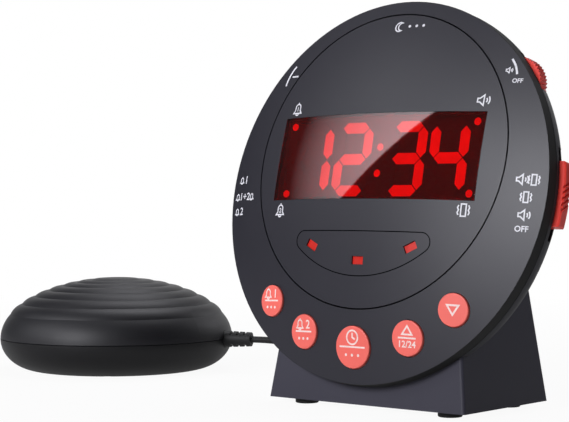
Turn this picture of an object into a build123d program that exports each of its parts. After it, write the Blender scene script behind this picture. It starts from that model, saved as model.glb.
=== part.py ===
"""Bed shaker alarm clock: a round domed clock on a tapered stand, and a vibrating disc on a cord.

Millimetres. +X is the viewer's right, -Y is the front, +Z is up. The origin is on the table, under
the middle of the clock and the disc. Depths are measured back from the top of the face's dome,
square to the face.
"""

import os
from math import asin, atan2, cos, degrees, hypot, pi, radians, sin, sqrt, tan

from build123d import *

os.makedirs("parts", exist_ok=True)

# ---- driving dimensions: the face
face_radius = 70.0
face_rise = 8.85  # how far the domed face stands in front of its rim
face_height = 80.1  # centre of the face above the table
face_lean = 12.6  # degrees, top of the face backwards
face_wall = 2.4
band_depth = 4.6  # straight black side behind the rim
seam_radius = 54.4
seam_rise = 10.45  # centre of the snooze panel above the centre of the face
seam_gap = 0.3
collar_wall = 1.6
collar_depth = 12.6
press_travel = 0.8  # of the snooze panel and of each button

# the window and the display behind it
window_width = 89.8
window_height = 31.6
window_rise = 10.8
window_ledge = 1.0
lens_wall = 1.4
fit_gap = 0.1
display_width = 86.4
display_height = 28.8
display_depth = 6.9
display_thick = 9.0
digit_height = 27.2
digit_width = 12.4
digit_stroke = 4.0
segment_gap = 0.3
digit_places = (-30.3, -12.3, 11.7, 29.7)
lit_digits = ("bc", "abged", "abgcd", "fgbc")
digit_proud = 0.15
colon_places = ((-0.3, 5.6), (-0.3, 15.2))
corner_dots = ((-41.2, -1.9), (40.3, -1.9), (-41.2, 23.5), (40.3, 23.5))
dot_radius = 1.35

# the status panel under the window, with three lights
status_top = -16.5
status_bottom = -32.4
status_arc = 46.5
status_round = 3.5
status_wall = 1.4
light_width = 5.0
light_height = 2.9
light_arc = 49.2
light_centre = 22.3
light_turn = 26.5
light_recess = 0.7

# the five buttons: name, place across and up the face, radius
buttons = (
    ("alarm_one_button", (-40.4, -42.2), 5.7),
    ("alarm_two_button", (-23.05, -52.8), 6.15),
    ("clock_set_button", (0.0, -57.2), 7.4),
    ("up_button", (23.05, -52.8), 6.15),
    ("down_button", (40.4, -42.2), 5.7),
)
button_proud = 0.9
button_gap = 0.25
button_flange = 1.1
button_stem = 2.0
button_round = 0.4

# ---- driving dimensions: the drum
rim_step = 0.1  # drum outside the bezel
drum_depth = 45.5
shoulder_depth = 18.4
shoulder_round = 10.0
back_inset = 30.1  # flat back smaller than the drum all round
back_round = 5.0
lip_depth = 1.5
lip_wall = 0.95
board_depth = 19.6
board_wall = 1.6
board_edge = 7.1  # inside the rim
post_radius = 3.9
screw_radius = 1.25
screw_head = 2.4
screw_head_height = 1.8
boss_depth = 16.0
board_screws = ((-46.0, -22.0), (46.0, -22.0), (-26.0, 49.0), (26.0, 49.0))
key_screws = ((-33.2, -50.0), (-12.3, -58.7), (12.3, -58.7), (33.2, -50.0))
key_board_depth = 16.0
switch_side = 6.0
switch_height = 3.5
actuator_height = 0.9
actuator_radius = 1.75

# thumb wheels and slide knobs on the rim
wheel_angle = 38.2
wheel_radius = 10.5
wheel_inset = 8.5  # its axis inside the rim
wheel_depth = 14.2
wheel_thick = 4.2
wheel_teeth = 48
wheel_tooth = 0.55
wheel_gap = 0.35
wheel_notch = 1.6  # narrower than the wheel on either side
pot_radius = 3.4
shaft_radius = 2.0
running_gap = 0.05
knob_proud = 2.3
knob_neck = 6.1  # inside the rim
knob_length = 22.6
knob_depth = 15.4
knob_thick = 4.2
knob_gap = 0.3
knob_rib_count = 5
knob_rib_pitch = 2.0
mode_travel = 4.5
select_travel = 3.0

# speaker and battery in the drum's back
speaker_radius = 14.0
speaker_rise = 24.2
speaker_deep = 8.0
grille_slots = 7
grille_slot = 1.7
battery_size = (48.5, 26.5, 17.5)
battery_rise = -5.5
battery_wall = 1.6
battery_floor = 22.6
battery_gap = 0.3
door_margin = 1.6
door_wall = 1.7
door_gap = 0.3

# ---- driving dimensions: the stand
stand_width = 87.2
stand_depth = 52.8
stand_front = -2.0  # front lower edge, against the centre of the face
stand_side_lean = 7.8
stand_front_lean = 7.0
stand_back_lean = 4.8
stand_drop = 33.9  # top of the stand under the centre of the face
stand_wall = 2.4
stand_round = 1.2
stand_edge = 1.0
plate_wall = 2.0
foot_radius = 4.3
foot_height = 2.2
foot_sink = 0.6
foot_inset = (11.5, 8.2)
plate_screw_inset = (6.2, 18.0)
passage_radius = 5.0
passage_back = 17.5
saddle_screws = ((-18.0, 22.0), (18.0, 22.0))
jack_height = 14.1
jack_side = 20.0
inlet_side = 22.0
inlet_bore = 3.15
inlet_pin = 1.05
inlet_pin_length = 8.0
inlet_deep = 11.0
socket_recess = 5.6
jack_bore = 1.8
jack_deep = 15.0

# ---- driving dimensions: the disc
disc_radius = 50.8
disc_dome = 25.6
disc_seam = 14.0
disc_corner = 16.8  # across the round of the lower edge
disc_wall = 2.4
disc_left = 176.4  # centre of the disc, left of the face's centre
disc_back = 48.3  # and behind it
ripple_start = 24.0  # degrees above the seam
ripple_count = 7
ripple_pitch = 6.2
ripple_height = 0.55
disc_screw_ring = 35.0
disc_screw_turn = 70.0
motor_radius = 12.0
motor_length = 26.0
motor_floor = 1.8
motor_back = -18.0
clamp_place = (-8.0, -2.0)
clamp_wall = 1.6
motor_shaft = 1.6
weight_radius = 12.2
weight_thick = 9.0
cord_turn = 24.0  # degrees, way the cord leaves the disc
relief_length = 11.5
relief_root = 3.65
relief_tip = 3.05
relief_slots = 3
relief_slot = 1.3
relief_slot_pitch = 2.9
relief_core = 1.9

# ---- driving dimensions: the cord
cord_radius = 1.4
cord_sides = 8
coil_centre = (-56.0, 92.0)  # against the centre of the face
coil_outer = 21.6
coil_gap = 0.5
coil_layers = 4
coil_steps = 6  # half turns in each layer
coil_swing = 0.8  # sideways, halfway up a climb from one layer to the next
tie_wall = 0.6
tie_width = 5.0
tie_gap = 0.35
plug_radius = 4.2
plug_length = 17.0
plug_relief = 9.0
plug_tip = 1.72
plug_tip_length = 14.0

# ---- places that follow
lean = radians(face_lean)
dome_radius = (face_radius**2 + face_rise**2) / (2 * face_rise)
joint_depth = face_rise + band_depth
drum_radius = face_radius + rim_step
back_radius = drum_radius - back_inset
board_radius = face_radius - board_edge
wheel_centre = face_radius - wheel_inset
upper_screw, lower_screw = face_radius - 12.5, face_radius - 20.0
drum_screws = ((-upper_screw, 26.0), (upper_screw, 26.0), (-lower_screw, -38.0), (lower_screw, -38.0))
knob_reach = face_radius + knob_proud
stand_height = face_height - foot_height - stand_drop
disc_rest = disc_radius - disc_corner
motor_rise = disc_wall + motor_floor + motor_radius
coil_pitch = 2 * cord_radius + coil_gap
coil_rise = coil_pitch


def dome_depth(radius, inset=0.0):
    """Depth of the dome, or of one inset below it, at a distance from the middle."""
    return dome_radius - sqrt((dome_radius - inset) ** 2 - radius**2)


set_button = buttons[2]
lowest = -set_button[1][1] + set_button[2]
front_reach = lowest * sin(lean) - (dome_depth(lowest) - button_proud) * cos(lean)
left_reach = disc_left + disc_radius
back_reach = disc_back + disc_radius
face_x = (left_reach - knob_reach) / 2
face_y = (front_reach - back_reach) / 2
face_centre = Vector(face_x, face_y, face_height)

face = Plane(origin=face_centre, x_dir=(1, 0, 0), z_dir=(0, -cos(lean), sin(lean)))
profile = Plane(origin=face_centre, x_dir=face.x_dir, z_dir=-face.y_dir)
face_axis = Axis(face_centre, face.z_dir)
far = 200.0  # longer than anything it cuts


def peg(places, radius, near, deep, mode=Mode.ADD):
    """Round bosses or holes square to the face, from one depth to another."""
    with BuildSketch(face.offset(-deep)) as outline:
        with Locations(*places):
            Circle(radius)
    extrude(outline.sketch, amount=deep - near, mode=mode)


def block(place, width, height, near, deep, turn=0.0, mode=Mode.ADD):
    """A rectangular block square to the face, from one depth to another."""
    with BuildSketch(face.offset(-deep)) as outline:
        with Locations(Location((place[0], place[1], 0), (0, 0, turn))):
            Rectangle(width, height)
    extrude(outline.sketch, amount=deep - near, mode=mode)


def domed_slab(near, deep, reach):
    """A domed sheet between two insets of the face's dome."""
    with BuildSketch(profile) as outline:
        with BuildLine():
            top = ThreePointArc(
                (0, -near),
                (reach / 2, -dome_depth(reach / 2, near)),
                (reach, -dome_depth(reach, near)),
            )
            Line(top @ 1, (reach, -dome_depth(reach, deep)))
            ThreePointArc(
                (reach, -dome_depth(reach, deep)),
                (reach / 2, -dome_depth(reach / 2, deep)),
                (0, -deep),
            )
            Line((0, -deep), (0, -near))
        make_face()
    revolve(outline.sketch, axis=face_axis)


def domed_plug(deep, reach, inset=0.0):
    """Everything under the dome down to a flat depth."""
    with BuildSketch(profile) as outline:
        with BuildLine():
            top = ThreePointArc(
                (0, -inset),
                (reach / 2, -dome_depth(reach / 2, inset)),
                (reach, -dome_depth(reach, inset)),
            )
            Polyline(top @ 1, (reach, -deep), (0, -deep), (0, -inset))
        make_face()
    revolve(outline.sketch, axis=face_axis)



def spot(place, depth):
    """A plane square to the face, over a place on it, at a depth."""
    origin = face_centre + face.x_dir * place[0] + face.y_dir * place[1] - face.z_dir * depth
    return Plane(origin=origin, x_dir=face.x_dir, z_dir=face.z_dir)


def write(part, name):
    part.label = name
    export_step(part, f"parts/{name}.step")


# ---- front bezel: domed ring round the snooze panel, with its black side
with BuildPart() as front_bezel:
    domed_plug(collar_depth, face_radius, face_wall / 2)
    with BuildSketch(face.offset(-collar_depth)):
        with Locations((0, seam_rise)):
            Circle(seam_radius + collar_wall)
        with Locations(*key_screws):
            Circle(screw_radius + 1.5)
        with Locations(*drum_screws):
            Circle(screw_radius + 1.8)
    extrude(amount=collar_depth, mode=Mode.INTERSECT)
    domed_slab(0, face_wall, face_radius)
    with BuildSketch(profile):
        with BuildLine():
            Polyline(
                (face_radius, -face_rise),
                (face_radius, -joint_depth),
                (face_radius - face_wall, -joint_depth),
                (face_radius - face_wall, -face_rise),
                close=True,
            )
        make_face()
    revolve(axis=face_axis)
    peg(key_screws, screw_radius + 1.5, collar_depth - 1, key_board_depth)
    peg(drum_screws, screw_radius + 1.8, collar_depth - 1, boss_depth)
    peg([(0, seam_rise)], seam_radius, -10, joint_depth + 10, mode=Mode.SUBTRACT)
    for name, place, radius in buttons:
        peg([place], radius + button_gap, -10, joint_depth, mode=Mode.SUBTRACT)
    peg(key_screws + drum_screws, screw_radius, face_rise + 1.8, boss_depth, mode=Mode.SUBTRACT)
write(front_bezel.part, "front_bezel")

# ---- status panel: a crescent let into the snooze panel, with three recessed lights
light_places = [
    (light_arc * sin(radians(turn)), light_centre - light_arc * cos(radians(turn)), turn)
    for turn in (-light_turn, 0, light_turn)
]
panel_radius = seam_radius - seam_gap
panel_reach = seam_radius + seam_rise


def status_prism(grow):
    """Keeps what lies inside the crescent: an arc below, a straight edge above, round ends."""
    with BuildSketch(face.offset(-joint_depth)) as outline:
        with Locations((0, status_bottom + status_arc)):
            Circle(status_arc + grow)
        with Locations((0, status_top + grow - face_radius)):
            Rectangle(2 * face_radius, 2 * face_radius, mode=Mode.INTERSECT)
        fillet(outline.vertices(), status_round + grow)
    extrude(outline.sketch, amount=2 * joint_depth, mode=Mode.INTERSECT)


def light_holes(mode):
    for across, rise, turn in light_places:
        block((across, rise), light_width, light_height, -joint_depth, joint_depth, turn, mode)


with BuildPart() as status_pocket:
    domed_slab(-face_wall, status_wall, panel_reach)
    status_prism(fit_gap)

with BuildPart() as status_panel:
    domed_slab(0, status_wall, panel_reach)
    status_prism(0)
    light_holes(Mode.SUBTRACT)
write(status_panel.part, "status_panel")

with BuildPart() as light_prisms:
    light_holes(Mode.ADD)

with BuildPart() as status_windows:
    domed_slab(light_recess, face_wall, panel_reach)
    add(light_prisms.part, mode=Mode.INTERSECT)
write(status_windows.part, "status_windows")

# ---- snooze panel: the whole inner disc, which slides in its collar
window_place = (0, window_rise)
with BuildPart() as lens_pocket:
    domed_slab(-face_wall, lens_wall, panel_reach)
    block(window_place, window_width, window_height, -10, joint_depth, mode=Mode.INTERSECT)

snooze_place = (0, 56)
snooze_post = 2.2
post_end = board_depth - switch_height - actuator_height - press_travel - 0.15
hook_depth = collar_depth + 0.1
hook_wall = 0.9
with BuildPart() as snooze_panel:
    domed_plug(collar_depth, panel_reach, face_wall / 2)
    with BuildSketch(face.offset(-collar_depth)):
        with Locations((0, seam_rise)):
            Circle(panel_radius)
            Circle(panel_radius - collar_wall, mode=Mode.SUBTRACT)
        with Locations(snooze_place):
            Circle(snooze_post)
    extrude(amount=collar_depth, mode=Mode.INTERSECT)
    domed_slab(0, face_wall, panel_reach)
    peg([(0, seam_rise)], panel_radius, -10, collar_depth, mode=Mode.INTERSECT)
    peg([snooze_place], snooze_post, collar_depth - 1, post_end)
    with BuildSketch(face.offset(-hook_depth - hook_wall)):
        with Locations((0, seam_rise)):
            with PolarLocations(seam_radius - 0.4, 3, start_angle=90):
                Rectangle(3.0, 8.0)
    extrude(amount=hook_wall)
    with BuildSketch(face.offset(-hook_depth - hook_wall)):
        with Locations((0, seam_rise)):
            with PolarLocations(panel_radius - collar_wall / 2, 3, start_angle=90):
                Rectangle(1.0, 8.0)
    extrude(amount=hook_wall + 1.0)
    add(lens_pocket.part, mode=Mode.SUBTRACT)
    add(status_pocket.part, mode=Mode.SUBTRACT)
    open_width = window_width - 2 * window_ledge
    open_height = window_height - 2 * window_ledge
    block(window_place, open_width, open_height, -10, joint_depth, mode=Mode.SUBTRACT)
    light_holes(Mode.SUBTRACT)
write(snooze_panel.part, "snooze_panel")

with BuildPart() as display_lens:
    domed_slab(0, lens_wall, panel_reach)
    lens_width = window_width - 2 * fit_gap
    lens_height = window_height - 2 * fit_gap
    block(window_place, lens_width, lens_height, -10, joint_depth, mode=Mode.INTERSECT)
write(display_lens.part, "display_lens")

# ---- the five buttons: domed caps with a flange behind the bezel and a stem over a switch
flange_near = face_wall + 0.15
flange_far = flange_near + button_flange
stem_end = key_board_depth - switch_height - actuator_height - press_travel - 0.15
for name, place, radius in buttons:
    with BuildPart() as flange:
        domed_slab(flange_near, flange_far, face_radius - face_wall)
        peg([place], radius + 1.0, 0, joint_depth + 5, mode=Mode.INTERSECT)
    with BuildPart() as button:
        domed_slab(-button_proud, flange_far, face_radius - face_wall)
        peg([place], radius, -10, joint_depth + 5, mode=Mode.INTERSECT)
        fillet(button.edges().sort_by(face_axis)[-1:], button_round)
        add(flange.part)
        peg([place], button_stem, stem_end - 2.5, stem_end)
    write(button.part, name)

# ---- key board with its switches and screws
with BuildPart() as key_board:
    with BuildSketch(face.offset(-key_board_depth - board_wall)):
        Circle(face_radius - face_wall - 2.4)
        with Locations((0, seam_rise)):
            Circle(seam_radius + collar_wall + 1.6, mode=Mode.SUBTRACT)
        with BuildLine():
            Polyline((0, 0), (-94, -80), (94, -80), close=True)
        make_face(mode=Mode.INTERSECT)
        with Locations(*key_screws):
            Circle(screw_radius, mode=Mode.SUBTRACT)
        with Locations(*drum_screws):
            Circle(post_radius + 0.5, mode=Mode.SUBTRACT)
    extrude(amount=board_wall)
write(key_board.part, "key_board")


def push_switches(places, deep):
    """Square push switches standing on a board, actuator forward."""
    with BuildSketch(face.offset(-deep)) as outline:
        with Locations(*places):
            Rectangle(switch_side, switch_side)
    extrude(outline.sketch, amount=switch_height)
    front = deep - switch_height
    peg(places, actuator_radius, front - actuator_height, front)


def face_screws(places, head_depth, length, head_radius=screw_head):
    """Pan-head screws square to the face, heads backward."""
    peg(places, head_radius, head_depth, head_depth + screw_head_height)
    peg(places, screw_radius, head_depth - length, head_depth)


with BuildPart() as key_switches:
    push_switches([place for name, place, radius in buttons], key_board_depth)
write(key_switches.part, "key_switches")

with BuildPart() as key_board_screws:
    face_screws(key_screws, key_board_depth + board_wall, 6.0, 2.2)
write(key_board_screws.part, "key_board_screws")

# ---- main board with the snooze switch and the status lamps
with BuildPart() as main_board:
    with BuildSketch(face.offset(-board_depth - board_wall)):
        Circle(board_radius)
        with Locations((0, -board_radius - 44)):
            Rectangle(2 * board_radius, 2 * board_radius, mode=Mode.SUBTRACT)
        with Locations(*drum_screws):
            Circle(post_radius + 0.5, mode=Mode.SUBTRACT)
        with Locations(*board_screws):
            Circle(screw_radius, mode=Mode.SUBTRACT)
    extrude(amount=board_wall)
write(main_board.part, "main_board")

with BuildPart() as main_board_screws:
    with BuildSketch(face.offset(-board_depth)):
        with Locations(*board_screws):
            Circle(screw_head)
    extrude(amount=screw_head_height)
    peg(board_screws, screw_radius, board_depth, board_depth + 6.0)
write(main_board_screws.part, "main_board_screws")

with BuildPart() as snooze_switch:
    push_switches([snooze_place], board_depth)
write(snooze_switch.part, "snooze_switch")

lamp_places = [(across, rise) for across, rise, turn in light_places]
with BuildPart() as status_lamps:
    peg(lamp_places, 1.5, 5.6, 9.4)
    peg(lamp_places, 2.2, 9.4, board_depth)
write(status_lamps.part, "status_lamps")

# ---- display: a black block on legs, with lit and dark segments on its face
with BuildPart() as display_module:
    block(window_place, display_width, display_height, display_depth, display_depth + display_thick)
    for side in (-1, 1):
        leg_place = (0, window_rise + side * (display_height / 2 - 3))
        block(leg_place, display_width - 6, 1.6, display_depth + display_thick, board_depth)
write(display_module.part, "display_module")

half_row = (digit_height - digit_stroke) / 2
segment_middles = {
    "a": (0, half_row, 0),
    "b": (digit_width / 2, half_row / 2, 90),
    "c": (digit_width / 2, -half_row / 2, 90),
    "d": (0, -half_row, 0),
    "e": (-digit_width / 2, -half_row / 2, 90),
    "f": (-digit_width / 2, half_row / 2, 90),
    "g": (0, 0, 0),
}


def segments(lit_ones):
    """The six-sided segments of every digit that are lit, or those that are not."""
    with BuildSketch(face.offset(-display_depth)) as outline:
        for middle, lit in zip(digit_places, lit_digits):
            for letter, (across, rise, turn) in segment_middles.items():
                if (letter in lit) == lit_ones:
                    half = (half_row if turn else digit_width) / 2 - segment_gap
                    bevel = digit_stroke / 2
                    with Locations((middle + across, window_rise + rise)):
                        Polygon(
                            (-half, 0),
                            (bevel - half, -bevel),
                            (half - bevel, -bevel),
                            (half, 0),
                            (half - bevel, bevel),
                            (bevel - half, bevel),
                            rotation=turn,
                        )
    extrude(outline.sketch, amount=digit_proud)


with BuildPart() as display_lit_segments:
    segments(True)
    peg(colon_places + corner_dots, dot_radius, display_depth - digit_proud, display_depth)
write(display_lit_segments.part, "display_lit_segments")

with BuildPart() as display_dark_segments:
    segments(False)
write(display_dark_segments.part, "display_dark_segments")

# ---- thumb wheels on the rim, each on the shaft of its control
wheel_places = [
    (side * wheel_centre * cos(radians(wheel_angle)), wheel_centre * sin(radians(wheel_angle)))
    for side in (1, -1)
]
wheel_back = wheel_depth + wheel_thick
wheel_outline = []
for step in range(2 * wheel_teeth):
    reach = wheel_radius - wheel_tooth * (step % 2)
    turn = pi * step / wheel_teeth
    wheel_outline.append((reach * cos(turn), reach * sin(turn)))
for name, place in zip(("dimmer_wheel", "volume_wheel"), wheel_places):
    with BuildPart() as wheel:
        with BuildSketch(spot(place, wheel_back)):
            with BuildLine():
                Polyline(*wheel_outline, close=True)
            make_face()
        extrude(amount=wheel_thick)
        peg([place], pot_radius + 0.6, wheel_depth + 1.7, wheel_back, mode=Mode.SUBTRACT)
        peg([place], shaft_radius + running_gap, 0, wheel_back, mode=Mode.SUBTRACT)
    write(wheel.part, name)

with BuildPart() as wheel_controls:
    peg(wheel_places, pot_radius, wheel_depth + 2.1, board_depth)
    peg(wheel_places, shaft_radius, wheel_depth + 0.3, board_depth)
write(wheel_controls.part, "wheel_controls")

# ---- slide knobs at three and nine o'clock, each with a tongue in its switch
knob_back = knob_depth + knob_thick
neck_inner = face_radius - knob_neck
flange_outer = neck_inner + 0.3
flange_inner = neck_inner - 0.7
tongue_near = knob_depth + 0.9
tongue_far = knob_back - 0.9
sliders = (("alarm_mode_knob", 1, mode_travel), ("alarm_select_knob", -1, select_travel))
for name, side, travel in sliders:
    with BuildPart() as knob:
        with BuildSketch(face.offset(-knob_back)):
            Circle(knob_reach)
            Circle(neck_inner, mode=Mode.SUBTRACT)
            with Locations((side * face_radius, 0)):
                Rectangle(30, knob_length, mode=Mode.INTERSECT)
        extrude(amount=knob_thick)
        outer = knob.faces().sort_by(Axis.X)[-1 if side > 0 else 0]
        chamfer(outer.edges(), 0.5)
        rib_start = spot((side * (knob_reach + 1), 0), knob_depth + knob_thick / 2).origin
        rib_plane = Plane(origin=rib_start, x_dir=face.y_dir, z_dir=face.x_dir * side)
        with BuildSketch(rib_plane):
            with GridLocations(knob_rib_pitch, 1, knob_rib_count, 1):
                Rectangle(0.9, 9.0, rotation=side * 38)
        extrude(amount=-1.65, mode=Mode.SUBTRACT)
        with BuildSketch(face.offset(-knob_back)):
            Circle(flange_outer)
            Circle(flange_inner, mode=Mode.SUBTRACT)
            with Locations((side * face_radius, 0)):
                Rectangle(30, knob_length + 2, mode=Mode.INTERSECT)
        extrude(amount=knob_thick + 0.6)
        block((side * (neck_inner - 3.5), 0), 7.2, 3.6, tongue_near, tongue_far)
    write(knob.part, name)

with BuildPart() as slide_switches:
    for name, side, travel in sliders:
        block((side * (neck_inner - 6.9), 0), 8, 20, knob_depth - 0.2, board_depth)
    for name, side, travel in sliders:
        tongue_room = (3.6 + 2 * travel + 0.8, tongue_near - 0.3, tongue_far + 0.3)
        block((side * (neck_inner - 3.9), 0), 7.4, *tongue_room, mode=Mode.SUBTRACT)
write(slide_switches.part, "slide_switches")

# ---- drum: the shell behind the bezel
cone_turn = atan2(drum_radius - back_radius, drum_depth - shoulder_depth)
cone_reach = drum_radius * cos(cone_turn) + shoulder_depth * sin(cone_turn)


def drum_solid(inset, front, mode=Mode.ADD):
    """Everything inside the drum's outline, or inside one inset from it, behind a depth."""
    side = drum_radius - inset
    back = drum_depth - inset
    shoulder = (cone_reach - inset - side * cos(cone_turn)) / sin(cone_turn)
    corner = (cone_reach - inset - back * sin(cone_turn)) / cos(cone_turn)
    with BuildSketch(profile) as outline:
        with BuildLine():
            rim = Line((0, -front), (side, -front))
            flank = FilletPolyline(
                [(side, -front), (side, -shoulder), (corner, -back), (0, -back)],
                radius=[shoulder_round - inset, back_round - inset],
            )
            Line(flank @ 1, rim @ 0)
        make_face()
    revolve(outline.sketch, axis=face_axis, mode=mode)


def upright(places, radius, low, high, mode=Mode.ADD):
    """Round bosses or holes along Z, at places behind the face's centre."""
    with BuildSketch(Plane.XY.offset(low)) as outline:
        with Locations(*[(face_x + across, face_y + back) for across, back in places]):
            Circle(radius)
    extrude(outline.sketch, amount=high - low, mode=mode)


battery_place = (0, battery_rise)
battery_length, battery_tall, battery_thick = battery_size
pocket_length = battery_length + 2 * battery_gap
pocket_tall = battery_tall + 2 * battery_gap
pocket_floor = battery_floor + battery_wall
door_length = pocket_length + 2 * door_margin
door_tall = pocket_tall + 2 * door_margin
door_low = battery_rise - door_tall / 2
hinge_rise = door_low + door_wall / 2
hinge_depth = drum_depth - door_wall / 2
hinge_radius = 0.6
hinge_half = door_length / 2 + door_gap + 0.9


def hinge_pins(radius, half, mode=Mode.ADD):
    """A bar on the battery door's hinge line, as long on either side of the middle."""
    middle = face_centre + face.y_dir * hinge_rise - face.z_dir * hinge_depth
    start = Plane(origin=middle - face.x_dir * half, x_dir=(0, 1, 0), z_dir=(1, 0, 0))
    with BuildSketch(start) as outline:
        Circle(radius)
    extrude(outline.sketch, amount=2 * half, mode=mode)


stand_top = foot_height + stand_height
saddle_low = face_height - 64.1
saddle_high = saddle_low + 20.5
post_seat = 21.0

with BuildPart() as drum_posts:
    drum_solid(face_wall / 2, joint_depth - 2)
    with BuildSketch(face.offset(-drum_depth)):
        with Locations(*drum_screws):
            Circle(post_radius)
        with Locations(*board_screws):
            Circle(screw_radius + 1.8)
        with Locations(battery_place):
            Rectangle(pocket_length + 2 * battery_wall, pocket_tall + 2 * battery_wall)
    extrude(amount=drum_depth - boss_depth, mode=Mode.INTERSECT)
    peg(board_screws, screw_radius + 2.5, 0, board_depth + board_wall, mode=Mode.SUBTRACT)
    block(battery_place, 70, 40, 0, battery_floor, mode=Mode.SUBTRACT)

with BuildPart() as saddle_posts:
    drum_solid(face_wall / 2, joint_depth - 2)
    with BuildSketch(Plane.XY):
        with Locations(*[(face_x + across, face_y + back) for across, back in saddle_screws]):
            Circle(screw_radius + 2.1)
    extrude(amount=saddle_high, mode=Mode.INTERSECT)

slot_half = knob_length / 2 + knob_gap
grille_pitch = 2 * (speaker_radius - 1) / grille_slots
with BuildPart() as rear_housing:
    drum_solid(0, joint_depth)
    drum_solid(face_wall, joint_depth - 1, mode=Mode.SUBTRACT)
    lip_outer = face_radius - face_wall - fit_gap
    with BuildSketch(profile):
        with BuildLine():
            Polyline(
                (lip_outer, lip_depth - joint_depth),
                (lip_outer, -joint_depth),
                (drum_radius - face_wall + 0.6, -joint_depth),
                (drum_radius - face_wall + 0.6, -joint_depth - 1.2),
                (lip_outer - lip_wall, -joint_depth - 1.2),
                (lip_outer - lip_wall, lip_depth - joint_depth),
                close=True,
            )
        make_face()
    revolve(axis=face_axis)
    add(drum_posts.part)
    add(saddle_posts.part)
    for place in wheel_places:
        turn = wheel_angle if place[0] > 0 else 180 - wheel_angle
        window = (place[0] * 1.15, place[1] * 1.15)
        window_back = wheel_back + wheel_gap
        notch_front = joint_depth - lip_depth - 1
        block(window, 16, 2 * (wheel_radius - wheel_notch), notch_front, window_back, turn, Mode.SUBTRACT)
        peg([place], wheel_radius + wheel_gap, notch_front, window_back, mode=Mode.SUBTRACT)
    for name, side, travel in sliders:
        slot_place = (side * face_radius, 0)
        slot_front = knob_depth - knob_gap
        slot_length = 2 * (slot_half + travel)
        block(slot_place, 24, slot_length, slot_front, knob_back + knob_gap, mode=Mode.SUBTRACT)
    peg(drum_screws, screw_radius, boss_depth, far / 2, mode=Mode.SUBTRACT)
    peg(drum_screws, screw_head + 0.3, post_seat, far / 2, mode=Mode.SUBTRACT)
    peg(board_screws, screw_radius, 0, board_depth + board_wall + 5, mode=Mode.SUBTRACT)
    block(battery_place, pocket_length, pocket_tall, pocket_floor, far / 2, mode=Mode.SUBTRACT)
    recess = (door_length + 2 * door_gap, door_tall + 2 * door_gap)
    block(battery_place, *recess, drum_depth - door_wall - door_gap, far / 2, mode=Mode.SUBTRACT)
    hinge_pins(hinge_radius + 0.1, hinge_half + 0.2, mode=Mode.SUBTRACT)
    with BuildSketch(face.offset(-drum_depth - 1)):
        for row in range(grille_slots):
            offset = (row - (grille_slots - 1) / 2) * grille_pitch
            width = 2 * sqrt((speaker_radius - 1.5) ** 2 - offset**2)
            with Locations((0, speaker_rise + offset)):
                SlotOverall(width, grille_slot)
    extrude(amount=face_wall + 2, mode=Mode.SUBTRACT)
    upright([(0, passage_back)], passage_radius, 0, saddle_high, mode=Mode.SUBTRACT)
    upright(saddle_screws, screw_radius, 0, saddle_high - 1.5, mode=Mode.SUBTRACT)
write(rear_housing.part, "rear_housing")

with BuildPart() as housing_screws:
    face_screws(drum_screws, post_seat, post_seat - face_rise - 2.5)
write(housing_screws.part, "housing_screws")

# ---- speaker behind its grille
speaker_place = [(0, speaker_rise)]
speaker_back = drum_depth - face_wall
with BuildPart() as speaker:
    peg(speaker_place, speaker_radius, speaker_back - 1.2, speaker_back)
    with BuildSketch(spot(speaker_place[0], speaker_back - 1.2)):
        Circle(speaker_radius - 1.6)
    extrude(amount=3.4, taper=32)
    peg(speaker_place, 7.0, speaker_back - speaker_deep, speaker_back - 1.2)
write(speaker.part, "speaker")

# ---- backup battery, its snap and its door
snap_wall = 2.9
with BuildPart() as backup_battery:
    battery_body = battery_length - snap_wall
    body_place = (-snap_wall / 2, battery_rise)
    battery_near = pocket_floor
    block(body_place, battery_body, battery_tall, battery_near, battery_near + battery_thick)
    fillet(backup_battery.edges().filter_by(Axis.X), 2.0)
write(backup_battery.part, "backup_battery")

with BuildPart() as battery_snap:
    snap_place = ((battery_length - snap_wall) / 2, battery_rise)
    block(snap_place, snap_wall, battery_tall - 4, battery_near, battery_near + battery_thick - 2)
write(battery_snap.part, "battery_snap")

with BuildPart() as battery_door:
    block(battery_place, door_length, door_tall, drum_depth - door_wall, drum_depth)
    low_edges = battery_door.edges().filter_by(Axis.X).sort_by(Axis.Z)[:2]
    fillet(low_edges, door_wall / 2 - 0.01)
    with BuildSketch(face.offset(-drum_depth)):
        with Locations((0, battery_rise + door_tall / 2 - 3.6)):
            SlotOverall(12, 3.2)
    extrude(amount=0.7, mode=Mode.SUBTRACT)
    hinge_pins(hinge_radius, hinge_half)
write(battery_door.part, "battery_door")

# ---- stand: a tapered box whose top is a saddle for the drum
half_width = stand_width / 2
stand_leans = [tan(radians(a)) for a in (stand_side_lean, stand_front_lean, stand_back_lean)]


def stand_section(inset, height):
    """Outline of the stand at a height above its lower edge, or of one inset from it."""
    side_lean, front_lean, back_lean = stand_leans
    half = half_width - height * side_lean - inset
    front = stand_front + height * front_lean + inset
    back = stand_front + stand_depth - height * back_lean - inset
    with BuildSketch(Plane.XY.offset(foot_height + height)) as outline:
        with Locations((face_x, face_y + (front + back) / 2)):
            RectangleRounded(2 * half, back - front, stand_round)
    return outline.sketch


def stand_solid(inset, low, high):
    loft([stand_section(inset, low), stand_section(inset, high)])


with BuildPart() as drum_outline:
    drum_solid(0, joint_depth)
    with BuildSketch(face.offset(-joint_depth)):
        Circle(drum_radius + fit_gap)
    extrude(amount=joint_depth)

with BuildPart() as drum_wrap:
    drum_solid(-stand_wall, joint_depth - stand_wall)
    with BuildSketch(face.offset(-joint_depth)):
        Circle(drum_radius + stand_wall)
    extrude(amount=joint_depth)

with BuildPart() as stand_cavity:
    stand_solid(stand_wall, -1.0, stand_height - stand_wall)
    add(drum_wrap.part, mode=Mode.SUBTRACT)

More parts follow.
